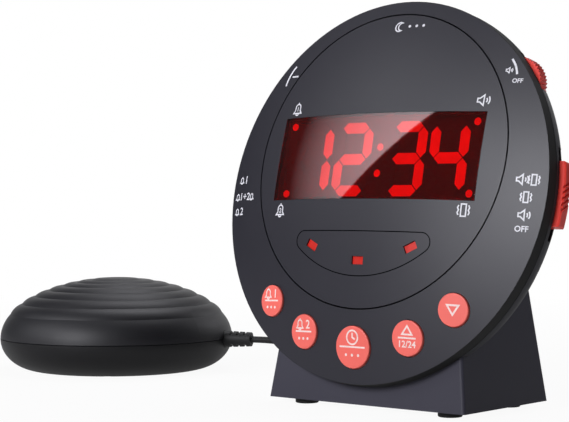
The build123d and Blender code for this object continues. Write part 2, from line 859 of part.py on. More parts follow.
plate_x = half_width - plate_screw_inset[0]
plate_fore = stand_front + plate_screw_inset[1]
plate_aft = stand_front + stand_depth - plate_screw_inset[1]
plate_screws = [(x, y) for x in (-plate_x, plate_x) for y in (plate_fore, plate_aft)]
plate_top = foot_height + plate_wall
jack_face = stand_front + stand_depth - (jack_height - foot_height) * stand_leans[2] - 1.1
back_wall = jack_face - 1.85
inlet_place = (face_x + inlet_side, jack_height)
jack_place = (face_x - jack_side, jack_height)


def along_back(places, radius, near, back, mode=Mode.ADD):
    """Round bosses or holes along Y, between two distances behind the face's centre."""
    start = Plane(origin=(0, face_y + back, 0), x_dir=(1, 0, 0), z_dir=(0, -1, 0))
    with BuildSketch(start) as outline:
        with Locations(*places):
            Circle(radius)
    extrude(outline.sketch, amount=back - near, mode=mode)


with BuildPart() as base_shell:
    stand_solid(0, 0, stand_height)
    fillet(base_shell.faces().sort_by(Axis.Z)[-1].edges(), stand_edge)
    add(stand_cavity.part, mode=Mode.SUBTRACT)
    upright(plate_screws, screw_radius + 2.0, plate_top, plate_top + 9)
    upright(saddle_screws, screw_radius + 2.3, saddle_low, saddle_high)
    add(drum_outline.part, mode=Mode.SUBTRACT)
    upright(plate_screws, screw_radius, plate_top, plate_top + 7.5, mode=Mode.SUBTRACT)
    upright(saddle_screws, screw_radius, 0, saddle_high, mode=Mode.SUBTRACT)
    upright([(0, passage_back)], passage_radius, plate_top, saddle_high, mode=Mode.SUBTRACT)
    along_back([inlet_place, jack_place], socket_recess, jack_face, 80, mode=Mode.SUBTRACT)
    along_back([inlet_place], inlet_bore + 1.0, back_wall - 5, 80, mode=Mode.SUBTRACT)
    along_back([jack_place], jack_bore + 1.6, back_wall - 5, 80, mode=Mode.SUBTRACT)
write(base_shell.part, "base_shell")

with BuildPart() as base_screws:
    upright(saddle_screws, screw_head, saddle_low - screw_head_height, saddle_low)
    upright(saddle_screws, screw_radius, saddle_low, saddle_high - 2)
write(base_screws.part, "base_screws")

foot_x = half_width - foot_inset[0]
foot_fore = stand_front + foot_inset[1]
foot_aft = stand_front + stand_depth - foot_inset[1]
feet = [(x, y) for x in (-foot_x, foot_x) for y in (foot_fore, foot_aft)]
with BuildPart() as base_plate:
    stand_solid(stand_wall + fit_gap, 0, plate_wall)
    upright(feet, foot_radius + 0.05, 0, foot_height + foot_sink, mode=Mode.SUBTRACT)
    upright(plate_screws, screw_radius, 0, plate_top, mode=Mode.SUBTRACT)
    upright(plate_screws, screw_head + 0.2, 0, plate_top - 1.0, mode=Mode.SUBTRACT)
write(base_plate.part, "base_plate")

with BuildPart() as base_plate_screws:
    upright(plate_screws, screw_head, foot_height + 0.1, plate_top - 1.0)
    upright(plate_screws, screw_radius, plate_top - 1.0, plate_top + 6)
write(base_plate_screws.part, "base_plate_screws")

with BuildPart() as rubber_feet:
    upright(feet, foot_radius, 0, foot_height + foot_sink)
    fillet(rubber_feet.edges().group_by(Axis.Z)[0], 0.5)
write(rubber_feet.part, "rubber_feet")

# ---- sockets at the stand's back, on their board
socket_low = jack_height - 5.4
with BuildPart() as dc_inlet:
    with BuildSketch(Plane.XY.offset(socket_low)):
        with Locations((inlet_place[0], face_y + back_wall - inlet_deep / 2)):
            Rectangle(9.4, inlet_deep)
    extrude(amount=10.6)
    along_back([inlet_place], inlet_bore + 0.9, back_wall - 2, jack_face)
    bore_floor = jack_face - inlet_pin_length - 1.4
    along_back([inlet_place], inlet_bore, bore_floor, jack_face, mode=Mode.SUBTRACT)
    along_back([inlet_place], inlet_pin, bore_floor, bore_floor + inlet_pin_length)
write(dc_inlet.part, "dc_inlet")

with BuildPart() as shaker_jack:
    with BuildSketch(Plane.XY.offset(socket_low)):
        with Locations((jack_place[0], face_y + back_wall - jack_deep / 2)):
            Rectangle(8.6, jack_deep)
    extrude(amount=10.0)
    along_back([jack_place], jack_bore + 1.5, back_wall - 2, jack_face)
    along_back([jack_place], jack_bore, jack_face - jack_deep, jack_face, mode=Mode.SUBTRACT)
write(shaker_jack.part, "shaker_jack")

board_back = back_wall - 1.0
board_deep = 17.0
board_middle = face_y + board_back - board_deep / 2
with BuildPart() as socket_board:
    with BuildSketch(Plane.XY.offset(socket_low - board_wall)):
        with Locations((face_x, board_middle)):
            Rectangle(inlet_side + jack_side + 14, board_deep)
    extrude(amount=board_wall)
write(socket_board.part, "socket_board")

with BuildPart() as socket_board_spacers:
    with BuildSketch(Plane.XY.offset(plate_top)):
        with Locations((face_x, board_middle)):
            with GridLocations(inlet_side + jack_side + 6, board_deep - 6, 2, 2):
                Circle(2.0)
    extrude(amount=socket_low - board_wall - plate_top)
write(socket_board_spacers.part, "socket_board_spacers")

# ---- disc: two shells round a motor with an off-centre weight
disc_x = face_x - disc_left
disc_y = face_y + disc_back
disc_centre = Vector(disc_x, disc_y, 0)
disc_profile = Plane(origin=disc_centre, x_dir=(1, 0, 0), z_dir=(0, -1, 0))
disc_axis = Axis(disc_centre, (0, 0, 1))
disc_side = disc_radius - disc_rest
seam_line = 0.4


def dome_point(turn, proud=0.0):
    """A point of the disc's upper outline at an angle above the seam."""
    across = (disc_radius + proud) * cos(turn)
    return (across, disc_seam + (disc_dome + proud) * sin(turn))


ripples = [radians(ripple_start)]
for step in range(ripple_count):
    stretch = sqrt((disc_radius * sin(ripples[-1])) ** 2 + (disc_dome * cos(ripples[-1])) ** 2)
    ripples.append(ripples[-1] + ripple_pitch / stretch)


def disc_cap(inset, mode=Mode.ADD):
    """Plain upper body of the disc, inset from its outline."""
    with BuildSketch(disc_profile) as outline:
        with BuildLine():
            for low in (0, 28, 56):
                turns = [radians(low + step) for step in (0, 14, 28)]
                arc = ThreePointArc(*[dome_point(turn, -inset) for turn in turns])
            start = (disc_radius - inset, disc_seam)
            Polyline(arc @ 1, (0, (arc @ 1).Y), (0, disc_seam), start)
        make_face()
    revolve(outline.sketch, axis=disc_axis, mode=mode)


def disc_dish(inset, mode=Mode.ADD):
    """Lower body of the disc, inset from its outline."""
    with BuildSketch(disc_profile) as outline:
        with BuildLine():
            across, down = disc_side - inset, disc_seam - inset
            EllipticalCenterArc((disc_rest, disc_seam), across, down, start_angle=-90, arc_size=90)
            Polyline(
                (disc_radius - inset, disc_seam), (0, disc_seam), (0, inset), (disc_rest, inset)
            )
        make_face()
    revolve(outline.sketch, axis=disc_axis, mode=mode)


def disc_pegs(places, radius, low, high, mode=Mode.ADD):
    with BuildSketch(Plane.XY.offset(low)) as outline:
        with Locations(*[(disc_x + x, disc_y + y) for x, y in places]):
            Circle(radius)
    extrude(outline.sketch, amount=high - low, mode=mode)


disc_screws = [
    (
        disc_screw_ring * cos(radians(disc_screw_turn + 120 * step)),
        disc_screw_ring * sin(radians(disc_screw_turn + 120 * step)),
    )
    for step in range(3)
]
relief_way = Vector(cos(radians(cord_turn)), sin(radians(cord_turn)), 0)
relief_seat = disc_radius - 1.2
neck_radius = 2.8
post_foot = 5.05
screw_seat = 2.8
clamp_foot = 8.0
relief_end = disc_radius + relief_length


def relief_plane(reach):
    """Plane across the cord's way out of the disc, at a distance from its centre."""
    origin = disc_centre + relief_way * reach + Vector(0, 0, disc_seam)
    return Plane(origin=origin, x_dir=(0, 0, 1), z_dir=relief_way)


def relief_peg(radius, near, reach, mode=Mode.ADD):
    with BuildSketch(relief_plane(near)) as outline:
        Circle(radius)
    extrude(outline.sketch, amount=reach - near, mode=mode)


with BuildPart() as disc_top_posts:
    disc_cap(disc_wall / 2)
    with BuildSketch(Plane.XY):
        with Locations(*[(disc_x + x, disc_y + y) for x, y in disc_screws]):
            Circle(screw_radius + 1.9)
    extrude(amount=far, mode=Mode.INTERSECT)

with BuildPart() as shaker_top_shell:
    with BuildSketch(disc_profile):
        with BuildLine():
            start = asin(seam_line / disc_dome)
            first = (start + ripples[0]) / 2
            ThreePointArc(dome_point(start), dome_point(first), dome_point(ripples[0]))
            for low, high in zip(ripples, ripples[1:]):
                middle = dome_point((low + high) / 2, ripple_height)
                ThreePointArc(dome_point(low), middle, dome_point(high))
            last = dome_point(ripples[-1])
            shoulder = (disc_radius - seam_line, disc_seam)
            Polyline(last, (0, last[1]), (0, disc_seam), shoulder, dome_point(start))
        make_face()
    revolve(axis=disc_axis)
    disc_cap(disc_wall, mode=Mode.SUBTRACT)
    add(disc_top_posts.part)
    disc_pegs(disc_screws, screw_radius + 1.9, post_foot, disc_seam + 2)
    with BuildSketch(disc_profile):
        with BuildLine():
            inner_wall = disc_radius - disc_wall
            Polyline(
                (inner_wall - 1.8, disc_seam - 1.8),
                (inner_wall - 0.4, disc_seam - 1.8),
                (inner_wall - 0.4, disc_seam + 0.1),
                (inner_wall + 0.8, disc_seam + 0.1),
                (inner_wall + 0.8, disc_seam + 1.4),
                (inner_wall - 1.8, disc_seam + 1.4),
                close=True,
            )
        make_face()
    revolve(axis=disc_axis)
    disc_pegs(disc_screws, screw_radius, 0, disc_seam + 4, mode=Mode.SUBTRACT)
    relief_peg(neck_radius + fit_gap, 40, relief_seat, mode=Mode.SUBTRACT)
    relief_peg(relief_root + fit_gap, relief_seat, far, mode=Mode.SUBTRACT)
write(shaker_top_shell.part, "shaker_top_shell")

motor_middle = Vector(disc_x, disc_y, motor_rise)


def along_motor(radius, near, reach, mode=Mode.ADD):
    """A round bar or bore on the motor's axis, between two distances from the disc's centre."""
    start = Plane(origin=motor_middle + Vector(near, 0, 0), x_dir=(0, 1, 0), z_dir=(1, 0, 0))
    with BuildSketch(start) as outline:
        Circle(radius)
    extrude(outline.sketch, amount=reach - near, mode=mode)


def motor_rib(place, wall, width, low, high):
    """An upright wall across the motor's axis, standing on the floor of the disc."""
    with BuildSketch(Plane.XY.offset(low)) as outline:
        with Locations((disc_x + place, disc_y)):
            Rectangle(wall, width)
    extrude(outline.sketch, amount=high - low)


clamp_middle = sum(clamp_place) / 2
clamp_reach = motor_radius + clamp_wall + 4.0
clamp_screws = [(clamp_middle, -clamp_reach), (clamp_middle, clamp_reach)]
with BuildPart() as shaker_bottom_shell:
    disc_dish(0)
    disc_dish(disc_wall, mode=Mode.SUBTRACT)
    motor_rib(motor_back + 4, 2.4, 26, 1.2, motor_rise - 4)
    motor_rib(motor_back + motor_length - 4, 2.4, 26, 1.2, motor_rise - 4)
    along_motor(motor_radius + running_gap, -40, 40, mode=Mode.SUBTRACT)
    disc_pegs(clamp_screws, screw_radius + 1.9, 1.2, clamp_foot)
    disc_pegs(clamp_screws, screw_radius, 2.0, clamp_foot, mode=Mode.SUBTRACT)
    disc_pegs(disc_screws, screw_head + 1.6, 1.2, post_foot - 0.05)
    disc_pegs(disc_screws, screw_radius + 0.1, 0, post_foot, mode=Mode.SUBTRACT)
    disc_pegs(disc_screws, screw_head + 0.3, 0, screw_seat, mode=Mode.SUBTRACT)
    relief_peg(neck_radius + fit_gap, 40, relief_seat, mode=Mode.SUBTRACT)
    relief_peg(relief_root + fit_gap, relief_seat, far, mode=Mode.SUBTRACT)
write(shaker_bottom_shell.part, "shaker_bottom_shell")

with BuildPart() as shaker_screws:
    disc_pegs(disc_screws, screw_head, screw_seat - screw_head_height, screw_seat)
    disc_pegs(disc_screws, screw_radius, screw_seat, disc_seam + 2)
write(shaker_screws.part, "shaker_screws")

motor_front = motor_back + motor_length
with BuildPart() as shaker_motor:
    along_motor(motor_radius, motor_back, motor_front)
    chamfer(shaker_motor.edges(), 0.6)
    along_motor(5.0, motor_front, motor_front + 1.2)
    along_motor(motor_shaft + running_gap, motor_front - 5, motor_front + 2, mode=Mode.SUBTRACT)
write(shaker_motor.part, "shaker_motor")

with BuildPart() as motor_clamp:
    clamp_start = motor_middle + Vector(clamp_place[0], 0, 0)
    with BuildSketch(Plane(origin=clamp_start, x_dir=(0, 1, 0), z_dir=(1, 0, 0))):
        Circle(motor_radius + running_gap + clamp_wall)
        foot_rise = clamp_foot - motor_rise
        with Locations((0, foot_rise / 2)):
            Rectangle(2 * (motor_radius + running_gap + clamp_wall), -foot_rise)
        with Locations((0, foot_rise - 10)):
            Rectangle(60, 20, mode=Mode.SUBTRACT)
        with Locations((0, foot_rise + clamp_wall / 2)):
            Rectangle(2 * (clamp_reach + 3.2), clamp_wall)
        Circle(motor_radius + running_gap, mode=Mode.SUBTRACT)
        with Locations((0, foot_rise / 2)):
            Rectangle(2 * (motor_radius + running_gap), -foot_rise, mode=Mode.SUBTRACT)
    extrude(amount=clamp_place[1] - clamp_place[0])
    disc_pegs(clamp_screws, screw_radius + 0.1, 0, far / 4, mode=Mode.SUBTRACT)
write(motor_clamp.part, "motor_clamp")

with BuildPart() as motor_clamp_screws:
    clamp_top = clamp_foot + clamp_wall
    disc_pegs(clamp_screws, screw_head, clamp_top, clamp_top + 1.4)
    disc_pegs(clamp_screws, screw_radius, 2.6, clamp_top)
write(motor_clamp_screws.part, "motor_clamp_screws")

weight_near = motor_front + 2.2
with BuildPart() as shaker_rotor_shaft:
    along_motor(motor_shaft, motor_front - 4.9, weight_near + weight_thick + 1.2)
write(shaker_rotor_shaft.part, "shaker_rotor_shaft")

with BuildPart() as shaker_weight:
    along_motor(weight_radius, weight_near, weight_near + weight_thick)
    with BuildSketch(Plane.XY.offset(motor_rise)):
        with Locations((disc_x + weight_near + weight_thick / 2, disc_y)):
            Rectangle(2 * weight_thick, 3 * weight_radius)
    extrude(amount=2 * weight_radius, mode=Mode.SUBTRACT)
    along_motor(3.4, weight_near, weight_near + weight_thick)
    along_motor(motor_shaft + 0.01, 0, weight_near + weight_thick, mode=Mode.SUBTRACT)
write(shaker_weight.part, "shaker_weight")

with BuildPart() as shaker_strain_relief:
    relief_peg(4.6, disc_radius - 6.0, disc_radius - 4.6)
    relief_peg(neck_radius, disc_radius - 4.6, relief_seat)
    with BuildSketch(relief_plane(relief_seat)):
        Circle(relief_root)
    relief_span = relief_end - relief_seat
    extrude(amount=relief_span, taper=degrees(atan2(relief_root - relief_tip, relief_span)))
    for step in range(relief_slots):
        for side in (-1, 1):
            reach = disc_radius + 2.4 + relief_slot_pitch * step
            with BuildSketch(relief_plane(reach)):
                with Locations((side * (relief_core + 3), 0)):
                    Rectangle(6, 12)
            extrude(amount=relief_slot, mode=Mode.SUBTRACT)
write(shaker_strain_relief.part, "shaker_strain_relief")


# ---- cord: a lead from the disc, a wound and tied coil, and a tail to the plug
def placed(points):
    return [(face_x + across, face_y + back, height) for across, back, height in points]


def bend_radii(points):
    """Largest even bends that leave a straight in every run."""
    radii = []
    for before, corner, after in zip(points, points[1:], points[2:]):
        inward = Vector(corner) - Vector(before)
        outward = Vector(after) - Vector(corner)
        half_turn = radians(inward.get_angle(outward)) / 2
        radii.append(0.45 * min(inward.length, outward.length) / tan(half_turn))
    return radii


def tube_start(path):
    way = path % 0
    return Plane(origin=path @ 0, x_dir=(way.Y, -way.X, 0), z_dir=way)


plug_seat = jack_face + 0.3
plug_end = plug_seat + plug_length + plug_relief
relief_mouth = disc_centre + relief_way * relief_end
lead_start = (relief_mouth.X - face_x, relief_mouth.Y - face_y, disc_seam)
coil_start = coil_centre[1] + coil_outer + coil_pitch / 2
coil_low = cord_radius + tie_wall
coil_high = coil_low + (coil_layers - 1) * coil_rise
coil_lead = 2 * cord_radius
lead_points = placed(
    [
        lead_start,
        (lead_start[0] + 13 * relief_way.X, lead_start[1] + 13 * relief_way.Y, disc_seam),
        (-98.5, 87.0, 10.2),
        (-89.0, 97.5, 5.6),
        (-79.5, 107.5, 2.6),
        (-70.5, coil_start, coil_low),
        (coil_centre[0] - coil_lead, coil_start, coil_low),
    ]
)
tail_points = placed(
    [
        (coil_centre[0] + coil_lead, coil_centre[1] + coil_outer, coil_high),
        (-47.0, coil_centre[1] + coil_outer, coil_high),
        (-37.5, 112.9, 9.8),
        (-28.0, 108.6, 6.4),
        (-21.0, 100.8, 5.4),
        (-19.8, 90.8, 9.4),
        (-jack_side, plug_end + 8, jack_height),
        (-jack_side, plug_end, jack_height),
    ]
)


def coil_stop(turn, radius, height, slope=0.0):
    """A place on the coil and its direction there: turn in degrees, wound clockwise from above."""
    angle = radians(90 - turn)
    across = face_x + coil_centre[0] + radius * cos(angle)
    back = face_y + coil_centre[1] + radius * sin(angle)
    way = Vector(sin(angle), -cos(angle), slope).normalized()
    return Vector(across, back, height), way


half_pitch = coil_pitch / 2
coil_inner = coil_outer - coil_steps * half_pitch
climb_slope = 1.5 * coil_rise / (pi * coil_inner)
coil_stops = [coil_stop(0, coil_outer + half_pitch, coil_low)]
turned = 0
for layer in range(coil_layers):
    inward = layer % 2 == 0
    height = coil_low + layer * coil_rise
    for step in range(coil_steps + 1 if layer == 0 else coil_steps):
        turned += 180
        rung = coil_steps - step if layer == 0 else coil_steps - 1 - step
        radius = coil_inner + half_pitch * (rung if inward else coil_steps - rung)
        coil_stops.append(coil_stop(turned, radius, height))
    if layer < coil_layers - 1:
        swing = -coil_swing if inward else coil_swing
        edge = coil_inner if inward else coil_outer
        slope = climb_slope * coil_inner / edge
        coil_stops.append(coil_stop(turned + 90, edge + swing, height + coil_rise / 2, slope))
        turned += 180
        coil_stops.append(coil_stop(turned, edge, height + coil_rise))


def join_stops(first, second):
    """Two tangent arcs between two stops."""
    (start, start_way), (end, end_way) = first, second
    chord = end - start
    ways = start_way + end_way
    lost = 2 * (1 - start_way.dot(end_way))
    along = chord.dot(ways)
    reach = (sqrt(along * along + lost * chord.dot(chord)) - along) / lost
    middle = (start + end + (start_way - end_way) * reach) / 2
    TangentArc(start, middle, tangent=start_way)
    TangentArc(end, middle, tangent=end_way * -1)


cord_lines = {}
with BuildLine() as lead_line:
    FilletPolyline(*lead_points, radius=bend_radii(lead_points))
cord_lines["shaker_cord_lead"] = lead_line.wires()[0]
with BuildLine() as coil_line:
    first, last = coil_stops[0][0], coil_stops[-1][0]
    Line(first - Vector(coil_lead, 0, 0), first)
    for before, after in zip(coil_stops, coil_stops[1:]):
        join_stops(before, after)
    Line(last, last + Vector(coil_lead, 0, 0))
cord_lines["shaker_cord_coil"] = coil_line.wires()[0]
with BuildLine() as tail_line:
    FilletPolyline(*tail_points, radius=bend_radii(tail_points))
cord_lines["shaker_cord_tail"] = tail_line.wires()[0]

for name, path in cord_lines.items():
    with BuildPart() as cord:
        with BuildSketch(tube_start(path)) as section:
            RegularPolygon(cord_radius, cord_sides)
        sweep(path=path)
    write(cord.part, name)
    ratio = cord.part.volume / (section.sketch.area * path.length)
    print(name, "length", round(path.length, 1), "volume ratio", round(ratio, 4))
print("lead radii", [round(radius, 1) for radius in bend_radii(lead_points)])
print("tail radii", [round(radius, 1) for radius in bend_radii(tail_points)])

coil_path = cord_lines["shaker_cord_coil"]
sample_count = int(coil_path.length / 1.5)
samples = [tuple(coil_path @ (step / sample_count)) for step in range(sample_count + 1)]
skip = int(4 * cord_radius / 1.5) + 1
least = min(
    sum((a - b) ** 2 for a, b in zip(samples[i], samples[j]))
    for i in range(len(samples))
    for j in range(i + skip, len(samples))
)
print("least gap between loops", round(sqrt(least) - 2 * cord_radius, 2))


def along_cord(radius, near, back, taper=0.0):
    """A round bar on the plug's axis, between two distances behind the face's centre."""
    start = Plane(origin=(0, face_y + near, 0), x_dir=(-1, 0, 0), z_dir=(0, 1, 0))
    with BuildSketch(start) as outline:
        with Locations((-jack_place[0], jack_place[1])):
            Circle(radius)
    extrude(outline.sketch, amount=back - near, taper=taper)


with BuildPart() as shaker_plug:
    along_cord(plug_radius, plug_seat, plug_seat + plug_length)
    ends = shaker_plug.edges().filter_by(GeomType.CIRCLE)
    chamfer(ends, 0.6)
    along_cord(2.6, plug_seat + plug_length, plug_end, taper=degrees(atan2(0.7, plug_relief)))
    along_cord(plug_tip, plug_seat - plug_tip_length, plug_seat)
write(shaker_plug.part, "shaker_plug")

with BuildPart() as cord_tie:
    inner_reach = coil_inner - cord_radius - tie_gap
    outer_reach = coil_outer + cord_radius + tie_gap
    tie_middle = coil_centre[1] - (inner_reach + outer_reach) / 2
    tie_high = coil_high + cord_radius + tie_gap
    tie_start = (face_x + coil_centre[0] - tie_width / 2, face_y + tie_middle, 0)
    with BuildSketch(Plane(origin=tie_start, x_dir=(0, 1, 0), z_dir=(1, 0, 0))):
        with Locations((0, (tie_wall + tie_high) / 2)):
            band = (outer_reach - inner_reach, tie_high - tie_wall)
            Rectangle(band[0] + 2 * tie_wall, band[1] + 2 * tie_wall)
            Rectangle(*band, mode=Mode.SUBTRACT)
    extrude(amount=tie_width)
write(cord_tie.part, "cord_tie")

# ---- wires inside the stand and inside the disc
harness_points = placed(
    [
        (0, 31.0, socket_low),
        (0, 31.0, 14.0),
        (0, passage_back, 19.0),
        (0, passage_back, face_height - 44.9),
        (0, 12.2, face_height - 43.7),
    ]
)
motor_points = [
    (disc_x + across, disc_y + back, height)
    for across, back, height in (
        ((disc_radius - 6.05) * relief_way.X, (disc_radius - 6.05) * relief_way.Y, disc_seam),
        (31.0 * relief_way.X, 31.0 * relief_way.Y, disc_seam),
        (14.0, 20.5, 16.0),
        (-14.0, 19.5, 19.0),
        (-28.0, 13.0, 17.5),
        (-28.0, 5.0, 16.6),
        (motor_back - 0.1, 5.0, 16.6),
    )
]
for name, points, radius in (
    ("internal_harness", harness_points, 1.5),
    ("motor_wires", motor_points, 0.9),
):
    with BuildPart() as wire:
        with BuildLine() as route:
            FilletPolyline(*points, radius=[min(8.0, bend) for bend in bend_radii(points)])
        route_start = route.wires()[0]
        way = route_start % 0
        with BuildSketch(Plane(origin=route_start @ 0, z_dir=way)):
            RegularPolygon(radius, cord_sides)
        sweep(path=route_start)
    write(wire.part, name)
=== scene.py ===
import math

import bpy
from mathutils import Matrix, Vector


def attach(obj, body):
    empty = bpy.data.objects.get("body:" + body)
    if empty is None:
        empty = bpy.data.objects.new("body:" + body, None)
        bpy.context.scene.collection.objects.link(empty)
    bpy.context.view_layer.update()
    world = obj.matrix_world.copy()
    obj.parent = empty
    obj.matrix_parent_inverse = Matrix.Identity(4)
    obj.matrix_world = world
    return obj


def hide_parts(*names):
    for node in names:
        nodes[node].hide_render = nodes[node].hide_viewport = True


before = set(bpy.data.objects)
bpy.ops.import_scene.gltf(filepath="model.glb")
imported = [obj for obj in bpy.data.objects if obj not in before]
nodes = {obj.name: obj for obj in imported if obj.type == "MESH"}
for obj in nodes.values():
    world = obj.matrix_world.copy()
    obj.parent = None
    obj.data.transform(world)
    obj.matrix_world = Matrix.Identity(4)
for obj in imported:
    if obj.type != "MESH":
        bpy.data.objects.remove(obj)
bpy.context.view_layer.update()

mm = 0.001

# where the domed face is, in mm, and how it leans back
clockFace = {
    "centre": (77.45, -45.734, 80.1),
    "lean": 12.6,
    "radius": 70.0,
    "rise": 8.85,
    "buttonProud": 0.9,
}

leanAngle = math.radians(clockFace["lean"])
faceCentre = Vector(clockFace["centre"])
faceOut = Vector((0, -math.cos(leanAngle), math.sin(leanAngle)))
faceUp = Vector((0, math.sin(leanAngle), math.cos(leanAngle)))
faceRight = Vector((1, 0, 0))
domeRadius = (clockFace["radius"] ** 2 + clockFace["rise"] ** 2) / (2 * clockFace["rise"])
domeMiddle = faceCentre - faceOut * domeRadius


def onFace(across, up, proud=0.0):
    # a place on the dome, or on a cap standing proud of it, in metres
    reach = domeRadius + proud
    depth = domeRadius - math.sqrt(reach**2 - across**2 - up**2)
    return (faceCentre + faceRight * across + faceUp * up - faceOut * depth) * mm


# the camera stands as far off and as high as the photographer did
cameraSet = {
    "place": (454.77, -530.46, 78.3),
    "yaw": 40.556,
    "pitch": -0.69,
    "roll": -0.195,
    "lens": 109.76,
    "sensor": 36.0,
    "clip": (0.05, 20),
}


def makeCamera(s):
    yaw, pitch, roll = (math.radians(s[k]) for k in ("yaw", "pitch", "roll"))
    level = Vector((math.cos(yaw), math.sin(yaw), 0))
    ahead = Vector((-math.sin(yaw), math.cos(yaw), 0))
    up = Vector((0, 0, 1))
    look = ahead * math.cos(pitch) + up * math.sin(pitch)
    upright = up * math.cos(pitch) - ahead * math.sin(pitch)
    side = level * math.cos(roll) + upright * math.sin(roll)
    top = upright * math.cos(roll) - level * math.sin(roll)
    data = bpy.data.cameras.new("camera")
    data.lens, data.sensor_width = s["lens"], s["sensor"]
    data.clip_start, data.clip_end = s["clip"]
    camera = bpy.data.objects.new("camera", data)
    turn = Matrix((side, top, -look)).transposed()
    camera.matrix_world = Matrix.Translation(Vector(s["place"]) * mm) @ turn.to_4x4()
    bpy.context.collection.objects.link(camera)
    bpy.context.scene.camera = camera


makeCamera(cameraSet)
print("camera placed")


# small helpers for the finishes' nodes
def newFinish(name):
    finish = bpy.data.materials.new(name)
    finish.use_nodes = True
    return finish, finish.node_tree, finish.node_tree.nodes["Principled BSDF"]


def addNode(tree, kind, **inputs):
    node = tree.nodes.new(kind)
    for name, value in inputs.items():
        node.inputs[name].default_value = value
    return node


def mathNode(tree, operation, first, second=None):
    node = tree.nodes.new("ShaderNodeMath")
    node.operation = operation
    for place, value in enumerate((first, second)):
        if isinstance(value, (int, float)):
            node.inputs[place].default_value = value
        elif value is not None:
            tree.links.new(value, node.inputs[place])
    return node.outputs[0]


def vectorNode(tree, operation, first, second=None, scale=None):
    node = tree.nodes.new("ShaderNodeVectorMath")
    node.operation = operation
    for place, value in enumerate((first, second)):
        if isinstance(value, Vector):
            node.inputs[place].default_value = value
        elif value is not None:
            tree.links.new(value, node.inputs[place])
    if scale is not None:
        tree.links.new(scale, node.inputs["Scale"])
    return node.outputs["Value" if operation in ("DOT_PRODUCT", "LENGTH") else "Vector"]


def blendColour(tree, amount, low, high):
    node = tree.nodes.new("ShaderNodeMix")
    node.data_type = "RGBA"
    for place, value in ((6, low), (7, high)):
        if isinstance(value, tuple):
            node.inputs[place].default_value = (*value, 1)
        else:
            tree.links.new(value, node.inputs[place])
    tree.links.new(amount, node.inputs[0])
    return node.outputs[2]


def placeIn(tree, stretch=(1, 1, 1)):
    # the piece's own place in metres, so that grain keeps its real size
    coordinates = tree.nodes.new("ShaderNodeTexCoord")
    mapping = tree.nodes.new("ShaderNodeMapping")
    mapping.inputs["Scale"].default_value = stretch
    tree.links.new(coordinates.outputs["Object"], mapping.inputs["Vector"])
    return mapping.outputs[0]


def speckle(tree, place, scale, detail=2.0, rough=0.5):
    node = addNode(tree, "ShaderNodeTexNoise", Scale=scale, Detail=detail, Roughness=rough)
    tree.links.new(place, node.inputs["Vector"])
    return node.outputs["Fac"]


def stretchTo(tree, value, low, high, newLow, newHigh):
    node = tree.nodes.new("ShaderNodeMapRange")
    tree.links.new(value, node.inputs["Value"])
    numbers = (low, high, newLow, newHigh)
    for name, number in zip(("From Min", "From Max", "To Min", "To Max"), numbers):
        node.inputs[name].default_value = number
    return node.outputs[0]


def liftGrain(tree, shader, height, distance, strength, normal=None):
    bump = addNode(tree, "ShaderNodeBump", Strength=strength, Distance=distance)
    tree.links.new(height, bump.inputs["Height"])
    if normal is not None:
        tree.links.new(normal, bump.inputs["Normal"])
    tree.links.new(bump.outputs[0], shader.inputs["Normal"])


def screen(red, green, blue):
    # a screen colour of 0 to 255 as a linear one
    parts = [value / 255 for value in (red, green, blue)]
    return tuple(p / 12.92 if p <= 0.04045 else ((p + 0.055) / 1.055) ** 2.4 for p in parts)


def shade(colour, share):
    return tuple(c * share for c in colour)


def useFinish(finish, *names):
    for name in names:
        mesh = nodes[name].data
        mesh.materials.clear()
        mesh.materials.append(finish)


# what all the plastics share
plasticSet = {
    "grainDetail": 3.0,
    "grainRough": 0.6,
    "grainStrength": 0.5,
    "colourSpan": (0.3, 0.7),
    "shineSpan": (0.25, 0.75),
    "specular": 0.4,
}


def mouldedPlastic(name, s):
    # spark-eroded moulding: fine grain, a little flow in the colour, rubbed shine
    s = {**plasticSet, **s}
    finish, tree, shader = newFinish(name)
    place = placeIn(tree)
    grain = speckle(tree, place, s["grainScale"], s["grainDetail"], s["grainRough"])
    flow = speckle(tree, place, s["flowScale"])
    dark, light = shade(s["colour"], 1 - s["shift"]), shade(s["colour"], 1 + s["shift"])
    base = blendColour(tree, stretchTo(tree, flow, *s["colourSpan"], 0, 1), dark, light)
    rough = stretchTo(tree, flow, *s["shineSpan"], *s["roughness"])
    if "sideColour" in s:
        # past this depth behind the face's front the side is near black and matt
        depth = vectorNode(tree, "DOT_PRODUCT", place, -faceOut)
        edge = (faceCentre * mm).dot(-faceOut) + s["sideDarkDepth"] * mm
        behind = mathNode(tree, "GREATER_THAN", depth, edge)
        base = blendColour(tree, behind, base, s["sideColour"])
        matt = mathNode(tree, "MULTIPLY", behind, s["sideRoughness"])
        rough = mathNode(tree, "MAXIMUM", rough, matt)
    tree.links.new(base, shader.inputs["Base Color"])
    tree.links.new(rough, shader.inputs["Roughness"])
    shader.inputs["Specular IOR Level"].default_value = s["specular"]
    liftGrain(tree, shader, grain, s["grainDepth"] * mm, s["grainStrength"])
    return finish


# the face and its black side are one moulding; past a set depth the side turns near black
facePaint = {
    "colour": screen(25, 24, 35),
    "shift": 0.05,
    "flowScale": 14.0,
    "grainScale": 5200.0,
    "grainDepth": 0.012,
    "roughness": (0.40, 0.48),
    "specular": 0.5,
}
bezelPaint = dict(
    facePaint, sideColour=screen(11, 11, 12), sideRoughness=0.85, sideDarkDepth=8.82
)
useFinish(mouldedPlastic("faceWithSide", bezelPaint), "front_bezel")
useFinish(mouldedPlastic("facePaint", facePaint), "snooze_panel", "status_panel")

